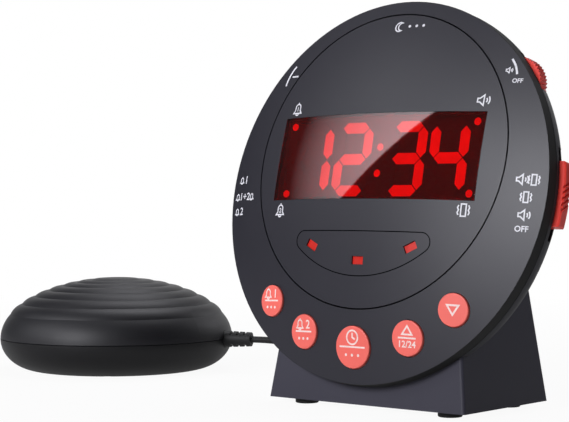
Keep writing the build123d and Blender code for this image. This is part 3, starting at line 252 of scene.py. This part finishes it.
# grey mouldings of the drum and the stand
housingPlastic = {
    "colour": screen(50, 50, 54),
    "shift": 0.06,
    "flowScale": 18.0,
    "grainScale": 2600.0,
    "grainDepth": 0.03,
    "roughness": (0.50, 0.62),
    "specular": 0.2,
}
standPlastic = dict(
    housingPlastic, colour=screen(56, 55, 66), roughness=(0.45, 0.58), specular=0.3
)
useFinish(mouldedPlastic("housingPlastic", housingPlastic), "rear_housing", "battery_door")
useFinish(mouldedPlastic("standPlastic", standPlastic), "base_shell", "base_plate")

# the disc; its lower half is a darker, less shiny copy of the same plastic, which is
# painted shade
discPlastic = {
    "colour": screen(13, 13, 19),
    "shift": 0.08,
    "flowScale": 22.0,
    "grainScale": 3000.0,
    "grainDepth": 0.03,
    "roughness": (0.50, 0.56),
    "specular": 0.5,
}
# painted shade: the lower shell is darker and duller than the top shell
discShadedLower = dict(discPlastic, colour=screen(9, 9, 12), specular=0.3)
useFinish(mouldedPlastic("discPlastic", discPlastic), "shaker_top_shell")
useFinish(mouldedPlastic("discShadedLower", discShadedLower), "shaker_bottom_shell", "motor_clamp")

# buttons, knobs and wheels in coloured plastic
buttonPlastic = {
    "colour": screen(246, 110, 99),
    "shift": 0.03,
    "flowScale": 60.0,
    "grainScale": 4200.0,
    "grainDepth": 0.01,
    "roughness": (0.36, 0.44),
}
sliderPlastic = dict(
    buttonPlastic, colour=screen(240, 68, 58), shift=0.05, roughness=(0.34, 0.42)
)
useFinish(
    mouldedPlastic("buttonPlastic", buttonPlastic),
    "alarm_one_button",
    "alarm_two_button",
    "clock_set_button",
    "up_button",
    "down_button",
)
useFinish(
    mouldedPlastic("sliderPlastic", sliderPlastic),
    "dimmer_wheel",
    "volume_wheel",
    "alarm_mode_knob",
    "alarm_select_knob",
)

# rubber, also the cord's
rubberSet = {
    "colour": screen(15, 15, 16),
    "shift": 0.08,
    "flowScale": 40.0,
    "grainScale": 2400.0,
    "grainDepth": 0.03,
    "roughness": (0.5, 0.65),
}
rubberFinish = mouldedPlastic("softRubber", rubberSet)
useFinish(
    rubberFinish,
    "rubber_feet",
    "shaker_plug",
    "shaker_strain_relief",
    "internal_harness",
    "motor_wires",
)

# the display behind its red window
windowSet = {
    "tint": (0.62, 0.012, 0.01),
    "roughness": 0.03,
    "ior": 1.5,
    "hazeScale": 900.0,
    "hazeDepth": 0.002,
    "hazeStrength": 0.2,
    "sideCut": 0.6,
}


def redWindow(s):
    finish, tree, shader = newFinish("redWindow")
    shader.inputs["Base Color"].default_value = (*s["tint"], 1)
    shader.inputs["Roughness"].default_value = s["roughness"]
    shader.inputs["IOR"].default_value = s["ior"]
    shader.inputs["Transmission Weight"].default_value = 1.0
    place = placeIn(tree)
    # both domed faces share one middle, so their normal comes straight from the place;
    # the window's narrow sides keep their own
    outward = vectorNode(tree, "SUBTRACT", place, domeMiddle * mm)
    outward = vectorNode(tree, "NORMALIZE", outward)
    own = tree.nodes.new("ShaderNodeNewGeometry").outputs["Normal"]
    facing = vectorNode(tree, "DOT_PRODUCT", outward, own)
    domed = vectorNode(tree, "SCALE", outward, scale=mathNode(tree, "SIGN", facing))
    squarely = mathNode(tree, "ABSOLUTE", facing)
    onDome = mathNode(tree, "GREATER_THAN", squarely, s["sideCut"])
    choose = tree.nodes.new("ShaderNodeMix")
    choose.data_type = "VECTOR"
    for number, value in ((0, onDome), (4, own), (5, domed)):
        tree.links.new(value, choose.inputs[number])
    haze = speckle(tree, place, s["hazeScale"])
    normal = choose.outputs[1]
    liftGrain(tree, shader, haze, s["hazeDepth"] * mm, s["hazeStrength"], normal)
    return finish


segmentSet = {
    "colour": screen(255, 20, 26),
    "strength": 0.65,
    "dimmest": 0.9,
    "unevenScale": 160.0,
    "unevenDetail": 1.0,
    "unevenSpan": (0.35, 0.65),
    "roughness": 0.4,
}


def litSegment(s):
    finish, tree, shader = newFinish("litSegment")
    uneven = speckle(tree, placeIn(tree), s["unevenScale"], s["unevenDetail"])
    amount = stretchTo(tree, uneven, *s["unevenSpan"], 0, 1)
    colour = blendColour(tree, amount, shade(s["colour"], s["dimmest"]), s["colour"])
    tree.links.new(colour, shader.inputs["Base Color"])
    tree.links.new(colour, shader.inputs["Emission Color"])
    shader.inputs["Emission Strength"].default_value = s["strength"]
    shader.inputs["Roughness"].default_value = s["roughness"]
    return finish


displayBlack = {
    "colour": (0.006, 0.004, 0.004),
    "shift": 0.1,
    "flowScale": 40.0,
    "grainScale": 3000.0,
    "grainDepth": 0.01,
    "roughness": (0.5, 0.6),
}
displayFinish = mouldedPlastic("displayBlack", displayBlack)
useFinish(redWindow(windowSet), "display_lens")
useFinish(litSegment(segmentSet), "display_lit_segments")
useFinish(displayFinish, "display_module", "display_dark_segments")

# the three small lights under the display
lightWindow = {
    "colour": screen(206, 34, 22),
    "shift": 0.06,
    "flowScale": 300.0,
    "grainScale": 3000.0,
    "grainDepth": 0.005,
    "roughness": (0.3, 0.4),
}
useFinish(mouldedPlastic("lightWindow", lightWindow), "status_windows")

# what is inside: boards, screws, motor, battery
boardSet = {
    "mask": screen(24, 78, 46),
    "trace": screen(46, 112, 66),
    "traceScale": 260.0,
    "traceSpan": (0.30, 0.36),
    "roughness": 0.35,
}


def boardFinish(s):
    finish, tree, shader = newFinish("boardMask")
    cells = addNode(tree, "ShaderNodeTexVoronoi", Scale=s["traceScale"])
    cells.distance = "CHEBYCHEV"
    tree.links.new(placeIn(tree), cells.inputs["Vector"])
    line = stretchTo(tree, cells.outputs["Distance"], *s["traceSpan"], 0, 1)
    colour = blendColour(tree, line, s["mask"], s["trace"])
    tree.links.new(colour, shader.inputs["Base Color"])
    shader.inputs["Roughness"].default_value = s["roughness"]
    return finish


metalSet = {
    "steel": (0.48, 0.49, 0.51),
    "brass": (0.52, 0.36, 0.14),
    "dull": 0.8,
    "scratchStretch": (1, 12, 12),
    "scratchScale": 175.0,
    "scratchDetail": 3.0,
    "scratchRough": 0.7,
    "shineSpan": (0.3, 0.7),
    "roughness": (0.24, 0.42),
}


def drawnMetal(name, metal, s):
    finish, tree, shader = newFinish(name)
    shader.inputs["Metallic"].default_value = 1.0
    place = placeIn(tree, s["scratchStretch"])
    scratch = speckle(tree, place, s["scratchScale"], s["scratchDetail"], s["scratchRough"])
    colour = blendColour(tree, scratch, shade(s[metal], s["dull"]), s[metal])
    tree.links.new(colour, shader.inputs["Base Color"])
    rough = stretchTo(tree, scratch, *s["shineSpan"], *s["roughness"])
    tree.links.new(rough, shader.inputs["Roughness"])
    return finish


useFinish(boardFinish(boardSet), "key_board", "main_board", "socket_board")
useFinish(
    drawnMetal("drawnSteel", "steel", metalSet),
    "key_board_screws",
    "main_board_screws",
    "housing_screws",
    "base_plate_screws",
    "base_screws",
    "shaker_screws",
    "motor_clamp_screws",
    "shaker_rotor_shaft",
    "shaker_motor",
    "wheel_controls",
)
useFinish(drawnMetal("turnedBrass", "brass", metalSet), "shaker_weight")
partsBlack = dict(displayBlack, colour=screen(26, 26, 28), roughness=(0.35, 0.45))
useFinish(
    mouldedPlastic("partsBlack", partsBlack),
    "key_switches",
    "snooze_switch",
    "slide_switches",
    "speaker",
    "battery_snap",
    "dc_inlet",
    "shaker_jack",
    "socket_board_spacers",
    "cord_tie",
)
lampEpoxy = dict(displayBlack, colour=screen(150, 148, 158), roughness=(0.25, 0.3))
useFinish(mouldedPlastic("lampEpoxy", lampEpoxy), "status_lamps")
batteryJacket = dict(displayBlack, colour=screen(60, 76, 99), roughness=(0.3, 0.4))
useFinish(mouldedPlastic("batteryJacket", batteryJacket), "backup_battery")
print("finishes given to", sum(1 for n in nodes.values() if n.data.materials), "nodes")

# printed marks are thin strips that follow the dome, all lengths in mm
inkSet = {
    "white": screen(226, 226, 232),
    "pale": screen(255, 226, 220),
    # colour of the painted shade laid along the gaps
    "seam": screen(7, 7, 8),
    "worn": 0.86,
    "wornScale": 1600.0,
    "wornSpan": (0.3, 0.6),
    "roughness": 0.5,
    "lift": 0.05,
    "step": 1.2,
    "mitre": 0.35,
    "capShare": 0.72,
    "bold": 0.06,
    "curveSteps": 3,
}


def inkFinish(name, colour, s, shine=0.5):
    finish, tree, shader = newFinish(name)
    thin = speckle(tree, placeIn(tree), s["wornScale"])
    amount = stretchTo(tree, thin, *s["wornSpan"], 0, 1)
    mixed = blendColour(tree, amount, shade(colour, s["worn"]), colour)
    tree.links.new(mixed, shader.inputs["Base Color"])
    shader.inputs["Roughness"].default_value = s["roughness"]
    shader.inputs["Specular IOR Level"].default_value = shine
    return finish


whiteInk = inkFinish("whiteInk", inkSet["white"], inkSet)
paleInk = inkFinish("paleInk", inkSet["pale"], inkSet)
# painted shade for the gaps, with no shine
gapShadeInk = inkFinish("seamShade", inkSet["seam"], inkSet, 0.0)


def divide(points, step):
    # the same line with no run longer than step
    line = [points[0]]
    for first, last in zip(points, points[1:]):
        runs = max(1, math.ceil(math.dist(first, last) / step))
        for k in range(1, runs + 1):
            line.append(tuple(a + (b - a) * k / runs for a, b in zip(first, last)))
    return line


def strokeFaces(points, width):
    # a strip of quads along a line in the plane of the face
    line = divide(points, inkSet["step"])
    closed = math.dist(line[0], line[-1]) < 1e-6
    if closed:
        line = line[:-1]
    corners, quads = [], []
    count = len(line)
    for k, (x, y) in enumerate(line):
        before = line[k - 1] if closed or k > 0 else None
        after = line[(k + 1) % count] if closed or k < count - 1 else None
        ways = []
        for first, last in ((before, (x, y)), ((x, y), after)):
            if first and last:
                run = math.dist(first, last)
                ways.append(((last[0] - first[0]) / run, (last[1] - first[1]) / run))
        wx, wy = (sum(w[i] for w in ways) / len(ways) for i in (0, 1))
        length = math.hypot(wx, wy)
        reach = width / 2 / max(length, inkSet["mitre"])
        nx, ny = -wy / length * reach, wx / length * reach
        corners += [(x + nx, y + ny), (x - nx, y - ny)]
    for k in range(count if closed else count - 1):
        a, b = 2 * k, 2 * ((k + 1) % count)
        quads.append((a, a + 1, b + 1, b))
    return corners, quads


def wordFaces(text, height, x, y):
    # digits and plain letters from Blender's own face, as flat polygons
    curve = bpy.data.curves.new("word", "FONT")
    curve.body, curve.size = text, height / inkSet["capShare"]
    curve.align_x, curve.align_y = "CENTER", "CENTER"
    curve.resolution_u = inkSet["curveSteps"]
    curve.offset = inkSet["bold"]
    carrier = bpy.data.objects.new("word", curve)
    bpy.context.collection.objects.link(carrier)
    bpy.context.view_layer.update()
    mesh = bpy.data.meshes.new_from_object(carrier)
    corners = [(x + v.co.x, y + v.co.y) for v in mesh.vertices]
    polygons = [tuple(p.vertices) for p in mesh.polygons]
    bpy.data.objects.remove(carrier)
    bpy.data.meshes.remove(mesh)
    return corners, polygons


def printMark(name, lines, place, size=1.0, proud=0.0, body="clock", ink=None, words=()):
    # lines are (points, width) round the mark's own middle; words are (text, height, x, y)
    shapes = []
    for run, width in lines:
        shapes.append(strokeFaces([(x * size, y * size) for x, y in run], width))
    for text, height, x, y in words:
        shapes.append(wordFaces(text, height * size, x * size, y * size))
    corners, faces = [], []
    for someCorners, someFaces in shapes:
        faces += [tuple(i + len(corners) for i in face) for face in someFaces]
        corners += someCorners
    mesh = bpy.data.meshes.new(name)
    lift = proud + inkSet["lift"]
    spots = [onFace(place[0] + x, place[1] + y, lift) for x, y in corners]
    mesh.from_pydata(spots, [], faces)
    mesh.materials.append(ink or whiteInk)
    mark = bpy.data.objects.new(name, mesh)
    bpy.context.collection.objects.link(mark)
    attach(mark, body)


def arcLine(centre, radius, start, end, steps):
    turns = [math.radians(start + (end - start) * k / steps) for k in range(steps + 1)]
    x, y = centre
    return [(x + radius * math.cos(t), y + radius * math.sin(t)) for t in turns]


def moved(lines, size, x, y, width):
    # the same lines at another size and place, drawn with one width
    return [([(px * size + x, py * size + y) for px, py in run], width) for run, _ in lines]


def bellLines(w):
    # a bell about 5 mm tall: skirt, shoulders, knob and clapper
    dome = arcLine((0, 0.6), 1.25, 180, 0, 10)
    skirt = [(-2.0, -1.7), (-1.25, -0.6)] + dome + [(1.25, -0.6), (2.0, -1.7), (-2.0, -1.7)]
    clapper = arcLine((0, -1.75), 0.75, 200, 340, 6)
    return [(skirt, w), (clapper, w), ([(0, 1.9), (0, 2.5)], w)]


def speakerLines(w):
    lower = [(0.1, -2.0), (-1.5, -0.7), (-2.4, -0.7), (-2.4, 0.7)]
    horn = [(-2.4, 0.7), (-1.5, 0.7), (0.1, 2.0)] + lower
    return [(horn, w)] + [(arcLine((0.1, 0), r, -38, 38, 6), w) for r in (1.3, 2.3)]


def shakeLines(w):
    # a box with a wavy line on each side
    lines = [([(-0.95, -2.1), (0.95, -2.1), (0.95, 2.1), (-0.95, 2.1), (-0.95, -2.1)], w)]
    for side in (-1, 1):
        inner, outer = 1.85 * side, 2.25 * side
        wave = [(inner, 1.7), (outer, 0.85), (inner, 0), (outer, -0.85), (inner, -1.7)]
        lines.append((wave, w))
    return lines


facePrints = {
    "stroke": 0.5,
    # on the panel: name, shape, size, place, any digit with its height and place
    "panel": (
        ("bellOnePrint", bellLines, 1.0, (-39.9, 30.1), [("1", 1.7, 0, -0.2)]),
        ("bellTwoPrint", bellLines, 1.0, (-40.4, -8.7), [("2", 1.7, 0, -0.2)]),
        ("soundPrint", speakerLines, 0.95, (42.7, 30.6), []),
        ("shakePrint", shakeLines, 1.0, (41.2, -8.3), []),
    ),
    # an arc is its middle, radius, start, end and steps
    "moonOuter": ((-5.0, 0), 1.8, 60, 300, 12),
    "moonInner": ((-4.0, 0), 1.55, 262, 98, 10),
    "moonDots": (-0.6, 2.4, 5.4),
    "moonDot": (0.28, 0.55),  # radius and stroke
    "moonDotSteps": 8,
    "moonPlace": (6.2, 59.8),
    # beside the wheels
    "volumeArc": ((41.0, 37.6), 12.2, 42, 12, 10),
    "volumeWidth": 0.75,
    "volumeSound": (0.35, (49.9, 41.6), 0.5),  # stroke, place and size
    "volumeOff": (1.6, (53.6, 37.7)),  # height and place
    "dimmerArc": ((-37.0, 38.8), 13.2, 137, 174, 10),
    "dimmerWidth": 0.8,
    "dimmerDash": (1.7, 0.6, (-45.9, 43.6)),  # half its length, stroke and place
    # beside the right slider: name, shape, place
    "modeSize": 0.85,
    "modeRows": (
        ("soundShakePrint", speakerLines, (61.0, 3.05)),
        ("soundShakeBoxPrint", shakeLines, (65.0, 3.07)),
        ("modeShakePrint", shakeLines, (62.9, -2.95)),
        ("modeSoundPrint", speakerLines, (62.9, -9.0)),
    ),
    "modeOff": (2.0, (62.45, -13.8)),
    # beside the left slider: name, text, place, how far across its bells are
    "selectRows": (
        ("selectOnePrint", "1", (-63.0, 3.6), (-65.7,)),
        ("selectBothPrint", "1+2", (-62.6, -2.9), (-66.9, -58.4)),
        ("selectTwoPrint", "2", (-63.5, -8.6), (-66.2,)),
    ),
    "selectHeight": 2.9,
    "selectBell": (0.55, 0.4),  # size and stroke
}


def makePrints(s):
    w = s["stroke"]

    def printOff(name, height, place):
        printMark(name, [], place, words=[("OFF", height, 0, 0)])

    for name, shape, size, place, words in s["panel"]:
        printMark(name, shape(w), place, size=size, body="snooze_bar", words=words)
    moon = arcLine(*s["moonOuter"]) + arcLine(*s["moonInner"])
    lines = [(moon + moon[:1], w)]
    radius, width = s["moonDot"]
    for x in s["moonDots"]:
        lines.append((arcLine((x, 0), radius, 0, 360, s["moonDotSteps"]), width))
    printMark("restPrint", lines, s["moonPlace"], body="snooze_bar")
    printMark("volumeArcPrint", [(arcLine(*s["volumeArc"]), s["volumeWidth"])], (0, 0))
    stroke, place, size = s["volumeSound"]
    printMark("volumeSoundPrint", speakerLines(stroke), place, size=size)
    printOff("volumeOffPrint", *s["volumeOff"])
    printMark("dimmerArcPrint", [(arcLine(*s["dimmerArc"]), s["dimmerWidth"])], (0, 0))
    half, width, place = s["dimmerDash"]
    printMark("dimmerDashPrint", [([(-half, 0), (half, 0)], width)], place)
    for name, shape, place in s["modeRows"]:
        printMark(name, shape(w), place, size=s["modeSize"])
    printOff("modeOffPrint", *s["modeOff"])
    size, stroke = s["selectBell"]
    for name, text, place, bells in s["selectRows"]:
        lines = []
        for across in bells:
            lines += moved(bellLines(w), size, across - place[0], 0, stroke)
        printMark(name, lines, place, words=[(text, s["selectHeight"], 0, 0)])


makePrints(facePrints)

# painted shade: near-black strips without shine along the gaps round the large panel and
# the crescent
seamSet = {
    "panelRadius": 54.5,
    "panelRise": 10.45,
    "width": 0.22,
    "crescentWidth": 0.34,
    "crescentTop": -16.5,
    "crescentMiddle": 14.1,
    "crescentRadius": 46.5,
    "cornerRadius": 3.5,
    "ringSteps": 240,
    "arcSteps": 40,
    "cornerSteps": 10,
}


def makeSeams(s):
    ring = arcLine((0, 0), s["panelRadius"], 0, 360, s["ringSteps"])
    ring[-1] = ring[0]
    printMark("panelSeamShade", [(ring, s["width"])], (0, s["panelRise"]), ink=gapShadeInk)
    # a straight edge above, an arc below and a round corner at each end
    corner, middle, steps = s["cornerRadius"], s["crescentMiddle"], s["cornerSteps"]
    cornerUp = s["crescentTop"] - corner
    inner = s["crescentRadius"] - corner
    across = math.sqrt(inner**2 - (middle - cornerUp) ** 2)
    turn = math.degrees(math.atan2(cornerUp - middle, across))
    outline = (
        arcLine((across, cornerUp), corner, 90, turn, steps)
        + arcLine((0, middle), s["crescentRadius"], turn, -180 - turn, s["arcSteps"])[1:]
        + arcLine((-across, cornerUp), corner, -180 - turn, -270, steps)[1:]
    )
    lines = [(outline + outline[:1], s["crescentWidth"])]
    printMark("crescentSeamShade", lines, (0, 0), body="snooze_bar", ink=gapShadeInk)


makeSeams(seamSet)

# marks on the button caps, each round its own cap's middle
buttonMarks = {
    "stroke": 0.58,
    "dot": 0.5,
    "dotSteps": 10,
    "bell": (0.8, -1.8, 2.5, 0.46),  # size, across, up and stroke
    # name, body and place; digit with its height and place; half the rule; dots' step
    # and height
    "alarms": (
        (
            ("alarmOneMark", "alarm_one_key", (-40.4, -42.2)),
            ("1", 3.1, 2.0, 2.4),
            3.6,
            (2.0, -2.4),
        ),
        (
            ("alarmTwoMark", "alarm_two_key", (-23.05, -52.8)),
            ("2", 3.1, 2.1, 2.4),
            3.9,
            (2.1, -2.5),
        ),
    ),
    "clockPlace": (0, -57.2),
    "clockDial": ((0, 3.3), 2.4, 0, 360, 28),  # as the arcs above
    "clockHands": ((0, 4.9), (0, 3.3), (1.2, 2.7)),
    "clockRule": 5.6,
    "clockDots": (2.7, -2.8),
    "upPlace": (23.05, -52.8),
    "upArrow": ((-2.0, 1.2), (0, 4.1), (2.0, 1.2), (-2.0, 1.2)),
    "upRule": 3.6,
    "upWord": ("12/24", 2.3, 0, -2.2),
    "downPlace": (40.4, -42.2),
    "downArrow": ((-2.2, 1.5), (0, -1.7), (2.2, 1.5), (-2.2, 1.5)),
    "downStroke": 0.65,
}


def makeButtonMarks(s):
    w = s["stroke"]
    cap = {"proud": clockFace["buttonProud"], "ink": paleInk}

    def rule(half):
        return [([(-half, 0), (half, 0)], w)]

    def dots(step, up):
        lines = []
        for x in (-step, 0, step):
            lines.append((arcLine((x, up), s["dot"] / 2, 0, 360, s["dotSteps"]), s["dot"]))
        return lines

    for (name, body, place), digit, half, dotRow in s["alarms"]:
        lines = moved(bellLines(w), *s["bell"]) + rule(half) + dots(*dotRow)
        printMark(name, lines, place, body=body, words=[digit], **cap)
    lines = [(arcLine(*s["clockDial"]), w), (list(s["clockHands"]), w)]
    lines += rule(s["clockRule"]) + dots(*s["clockDots"])
    printMark("clockSetMark", lines, s["clockPlace"], body="clock_set_key", **cap)
    lines = [(list(s["upArrow"]), w)] + rule(s["upRule"])
    printMark("upMark", lines, s["upPlace"], body="up_key", words=[s["upWord"]], **cap)
    lines = [(list(s["downArrow"]), s["downStroke"])]
    printMark("downMark", lines, s["downPlace"], body="down_key", **cap)


makeButtonMarks(buttonMarks)
print("prints made")

# the cord: lead, wound coil and tail on one smooth line, in mm
cordSet = {
    "exit": (-42.0366, 27.9057, 14.0),
    "lead": [
        (-30.1605, 33.1933, 14.0),
        (-21.05, 41.266, 10.2),
        (-11.55, 51.766, 5.6),
        (-2.05, 61.766, 2.6),
        (6.95, 69.516, 2.0),
        (18.65, 69.516, 2.0),
    ],
    "tail": [
        (24.25, 67.866, 11.9),
        (30.45, 67.866, 11.9),
        (39.95, 67.166, 9.8),
        (49.45, 62.866, 6.4),
        (56.45, 55.066, 5.4),
        (57.65, 45.066, 9.4),
        (57.45, 37.3, 14.1),
        (57.45, 29.3, 14.1),
    ],
    "coilMiddle": (21.45, 46.266),
    "coilFrom": 90,  # degrees round its middle
    "coilStart": 23.25,
    "coilInner": 11.7,
    "coilOuter": 21.6,
    "layerHalfTurns": (7, 6, 6, 6),
    "halfTurns": 28,
    "halfPitch": 1.65,
    "low": 2.0,
    "rise": 3.3,
    "swing": 0.8,
    "pointsPerTurn": 16,
    "splineOrder": 3,
    "splineSteps": 4,
    "roundSteps": 4,
    "radius": 1.4,
    "length": 1.61,
}


def coilReach(halfTurns, s):
    # radius and height of the winding after so many half turns; between two layers the
    # cord climbs for one half turn and swings a little past the layer's edge
    inner, outer = s["coilInner"], s["coilOuter"]
    starts = (s["coilStart"], inner, outer, inner)
    left, height = halfTurns, s["low"]
    for layer, (steps, start) in enumerate(zip(s["layerHalfTurns"], starts)):
        side = 1 if layer % 2 else -1
        if left <= steps or layer == len(starts) - 1:
            return start + side * s["halfPitch"] * left, height
        left -= steps
        if left <= 1:
            edge = start + side * s["halfPitch"] * steps
            lift = left - math.sin(2 * math.pi * left) / (2 * math.pi)
            swing = side * s["swing"] * math.sin(math.pi * left)
            return edge + swing, height + s["rise"] * lift
        left -= 1
        height += s["rise"]


def coilPoints(s):
    perTurn = s["pointsPerTurn"]
    # the spline cuts inside its points, so they stand a little further out
    swell = 1 / math.cos(math.pi / perTurn) ** 0.5
    points = []
    for k in range(s["halfTurns"] * perTurn // 2 + 1):
        turned = 2 * k / perTurn
        reach, height = coilReach(turned, s)
        angle = math.radians(s["coilFrom"]) - math.pi * turned
        x = s["coilMiddle"][0] + reach * swell * math.cos(angle)
        y = s["coilMiddle"][1] + reach * swell * math.sin(angle)
        points.append((x, y, height))
    return points


def makeCord(s):
    points = [s["exit"]] + s["lead"] + coilPoints(s) + s["tail"]
    curve = bpy.data.curves.new("shakerCord", "CURVE")
    curve.dimensions = "3D"
    spline = curve.splines.new("NURBS")
    spline.points.add(len(points) - 1)
    for point, place in zip(spline.points, points):
        point.co = (*(c * mm for c in place), 1)
    spline.order_u = s["splineOrder"]
    spline.use_endpoint_u = True
    curve.resolution_u = s["splineSteps"]
    curve.bevel_depth = s["radius"] * mm
    curve.bevel_resolution = s["roundSteps"]
    curve.use_fill_caps = True
    curve.materials.append(rubberFinish)
    cord = bpy.data.objects.new("shakerCord", curve)
    bpy.context.collection.objects.link(cord)
    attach(cord, "clock")
    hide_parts("shaker_cord_lead", "shaker_cord_coil", "shaker_cord_tail")


makeCord(cordSet)
print("cord laid")

# floor, background and lamps, in metres
studio = {
    "floorHalf": 3.0,
    "floorColour": (0.62, 0.62, 0.62),
    "floorRoughness": 0.9,
    "floorMirror": 0.4,
    "floorWhite": 0.94,
    "floorFade": (0.2, 0.6),
    "floorGlow": 1.0,
    "worldLight": 0.1,
    "worldWhite": 1.0,
    "sheetWay": (-0.65, 0.76, 0.0),
    "sheetEdge": (0.8, 0.9),
    "lampColour": (0.95, 0.95, 1.0),
}
keyLamp = {
    "place": (-0.043, -1.426, 0.62),
    "toward": (0.08, 0.92, -0.36),
    "along": (1, 0, 0),
    "size": (0.5, 0.5),
    "spread": 180,
    "power": 17.0,
}
# the window lamp's straight right edge is what the window shows as a bright corner
windowLamp = {
    "place": (-0.6155, -0.5424, 0.535),
    "toward": (0.4387, 0.7947, -0.4195),
    "along": (0.7292, -0.0421, 0.683),
    "size": (0.683, 0.433),
    "spread": 58,
    "power": 0.6,
}
topLamp = {
    "place": (-0.25, 0.45, 1.3),
    "toward": (0.15, -0.35, -1.1),
    "along": (1, 0, 0),
    "size": (0.9, 0.7),
    "spread": 180,
    "power": 9.0,
}
backLamp = {
    "place": (0.25, 1.4, 0.7),
    "toward": (-0.12, -0.9, -0.4),
    "along": (1, 0, 0),
    "size": (0.6, 0.6),
    "spread": 180,
    "power": 3.0,
}


def seenRay(tree, share):
    # 1 where it is seen straight on or through the window, share where it is mirrored
    path = tree.nodes.new("ShaderNodeLightPath").outputs
    mirrored = mathNode(tree, "MULTIPLY", path["Is Glossy Ray"], share)
    seen = mathNode(tree, "MAXIMUM", path["Is Camera Ray"], mirrored)
    return mathNode(tree, "MAXIMUM", seen, path["Is Transmission Ray"])


def makeFloor(s):
    half = s["floorHalf"]
    mesh = bpy.data.meshes.new("floor")
    corners = [(-half, -half, 0), (half, -half, 0), (half, half, 0), (-half, half, 0)]
    mesh.from_pydata(corners, [], [(0, 1, 2, 3)])
    floor = bpy.data.objects.new("floor", mesh)
    bpy.context.collection.objects.link(floor)
    finish, tree, shader = newFinish("floorPaper")
    shader.inputs["Base Color"].default_value = (*s["floorColour"], 1)
    shader.inputs["Roughness"].default_value = s["floorRoughness"]
    shader.inputs["Specular IOR Level"].default_value = 0.0
    glow = addNode(tree, "ShaderNodeEmission", Color=(1, 1, 1, 1), Strength=s["floorGlow"])
    # the paper fades to plain white away from the object, so that no horizon shows
    away = vectorNode(tree, "LENGTH", placeIn(tree))
    share = stretchTo(tree, away, *s["floorFade"], s["floorWhite"], 1)
    white = mathNode(tree, "MULTIPLY", seenRay(tree, s["floorMirror"]), share)
    mix = tree.nodes.new("ShaderNodeMixShader")
    for number, value in enumerate((white, shader.outputs[0], glow.outputs[0])):
        tree.links.new(value, mix.inputs[number])
    tree.links.new(mix.outputs[0], tree.nodes["Material Output"].inputs["Surface"])
    mesh.materials.append(finish)


def makeWorld(s):
    world = bpy.data.worlds.new("studio")
    bpy.context.scene.world = world
    world.use_nodes = True
    tree = world.node_tree
    background = tree.nodes["Background"]
    background.inputs["Color"].default_value = (1, 1, 1, 1)
    # mirrored, the white sheet stands only behind the object, and the photographer's side
    # of the room is dimmer
    way = tree.nodes.new("ShaderNodeTexCoord").outputs["Generated"]
    facing = vectorNode(tree, "DOT_PRODUCT", way, Vector(s["sheetWay"]))
    sheet = stretchTo(tree, facing, *s["sheetEdge"], 0, 1)
    level = stretchTo(tree, seenRay(tree, sheet), 0, 1, s["worldLight"], s["worldWhite"])
    tree.links.new(level, background.inputs["Strength"])


def makeLamp(name, s):
    data = bpy.data.lights.new(name, "AREA")
    data.shape, data.energy = "RECTANGLE", s["power"]
    data.size, data.size_y = s["size"]
    data.spread = math.radians(s["spread"])
    data.color = studio["lampColour"]
    lamp = bpy.data.objects.new(name, data)
    back = -Vector(s["toward"]).normalized()
    along = Vector(s["along"])
    along = (along - back * along.dot(back)).normalized()
    turn = Matrix((along, back.cross(along), back)).transposed()
    lamp.matrix_world = Matrix.Translation(Vector(s["place"])) @ turn.to_4x4()
    bpy.context.collection.objects.link(lamp)


makeFloor(studio)
makeWorld(studio)
makeLamp("keyLamp", keyLamp)
makeLamp("windowLamp", windowLamp)
makeLamp("topLamp", topLamp)
makeLamp("backLamp", backLamp)
bpy.context.scene.view_settings.view_transform = "Standard"
print("studio ready")
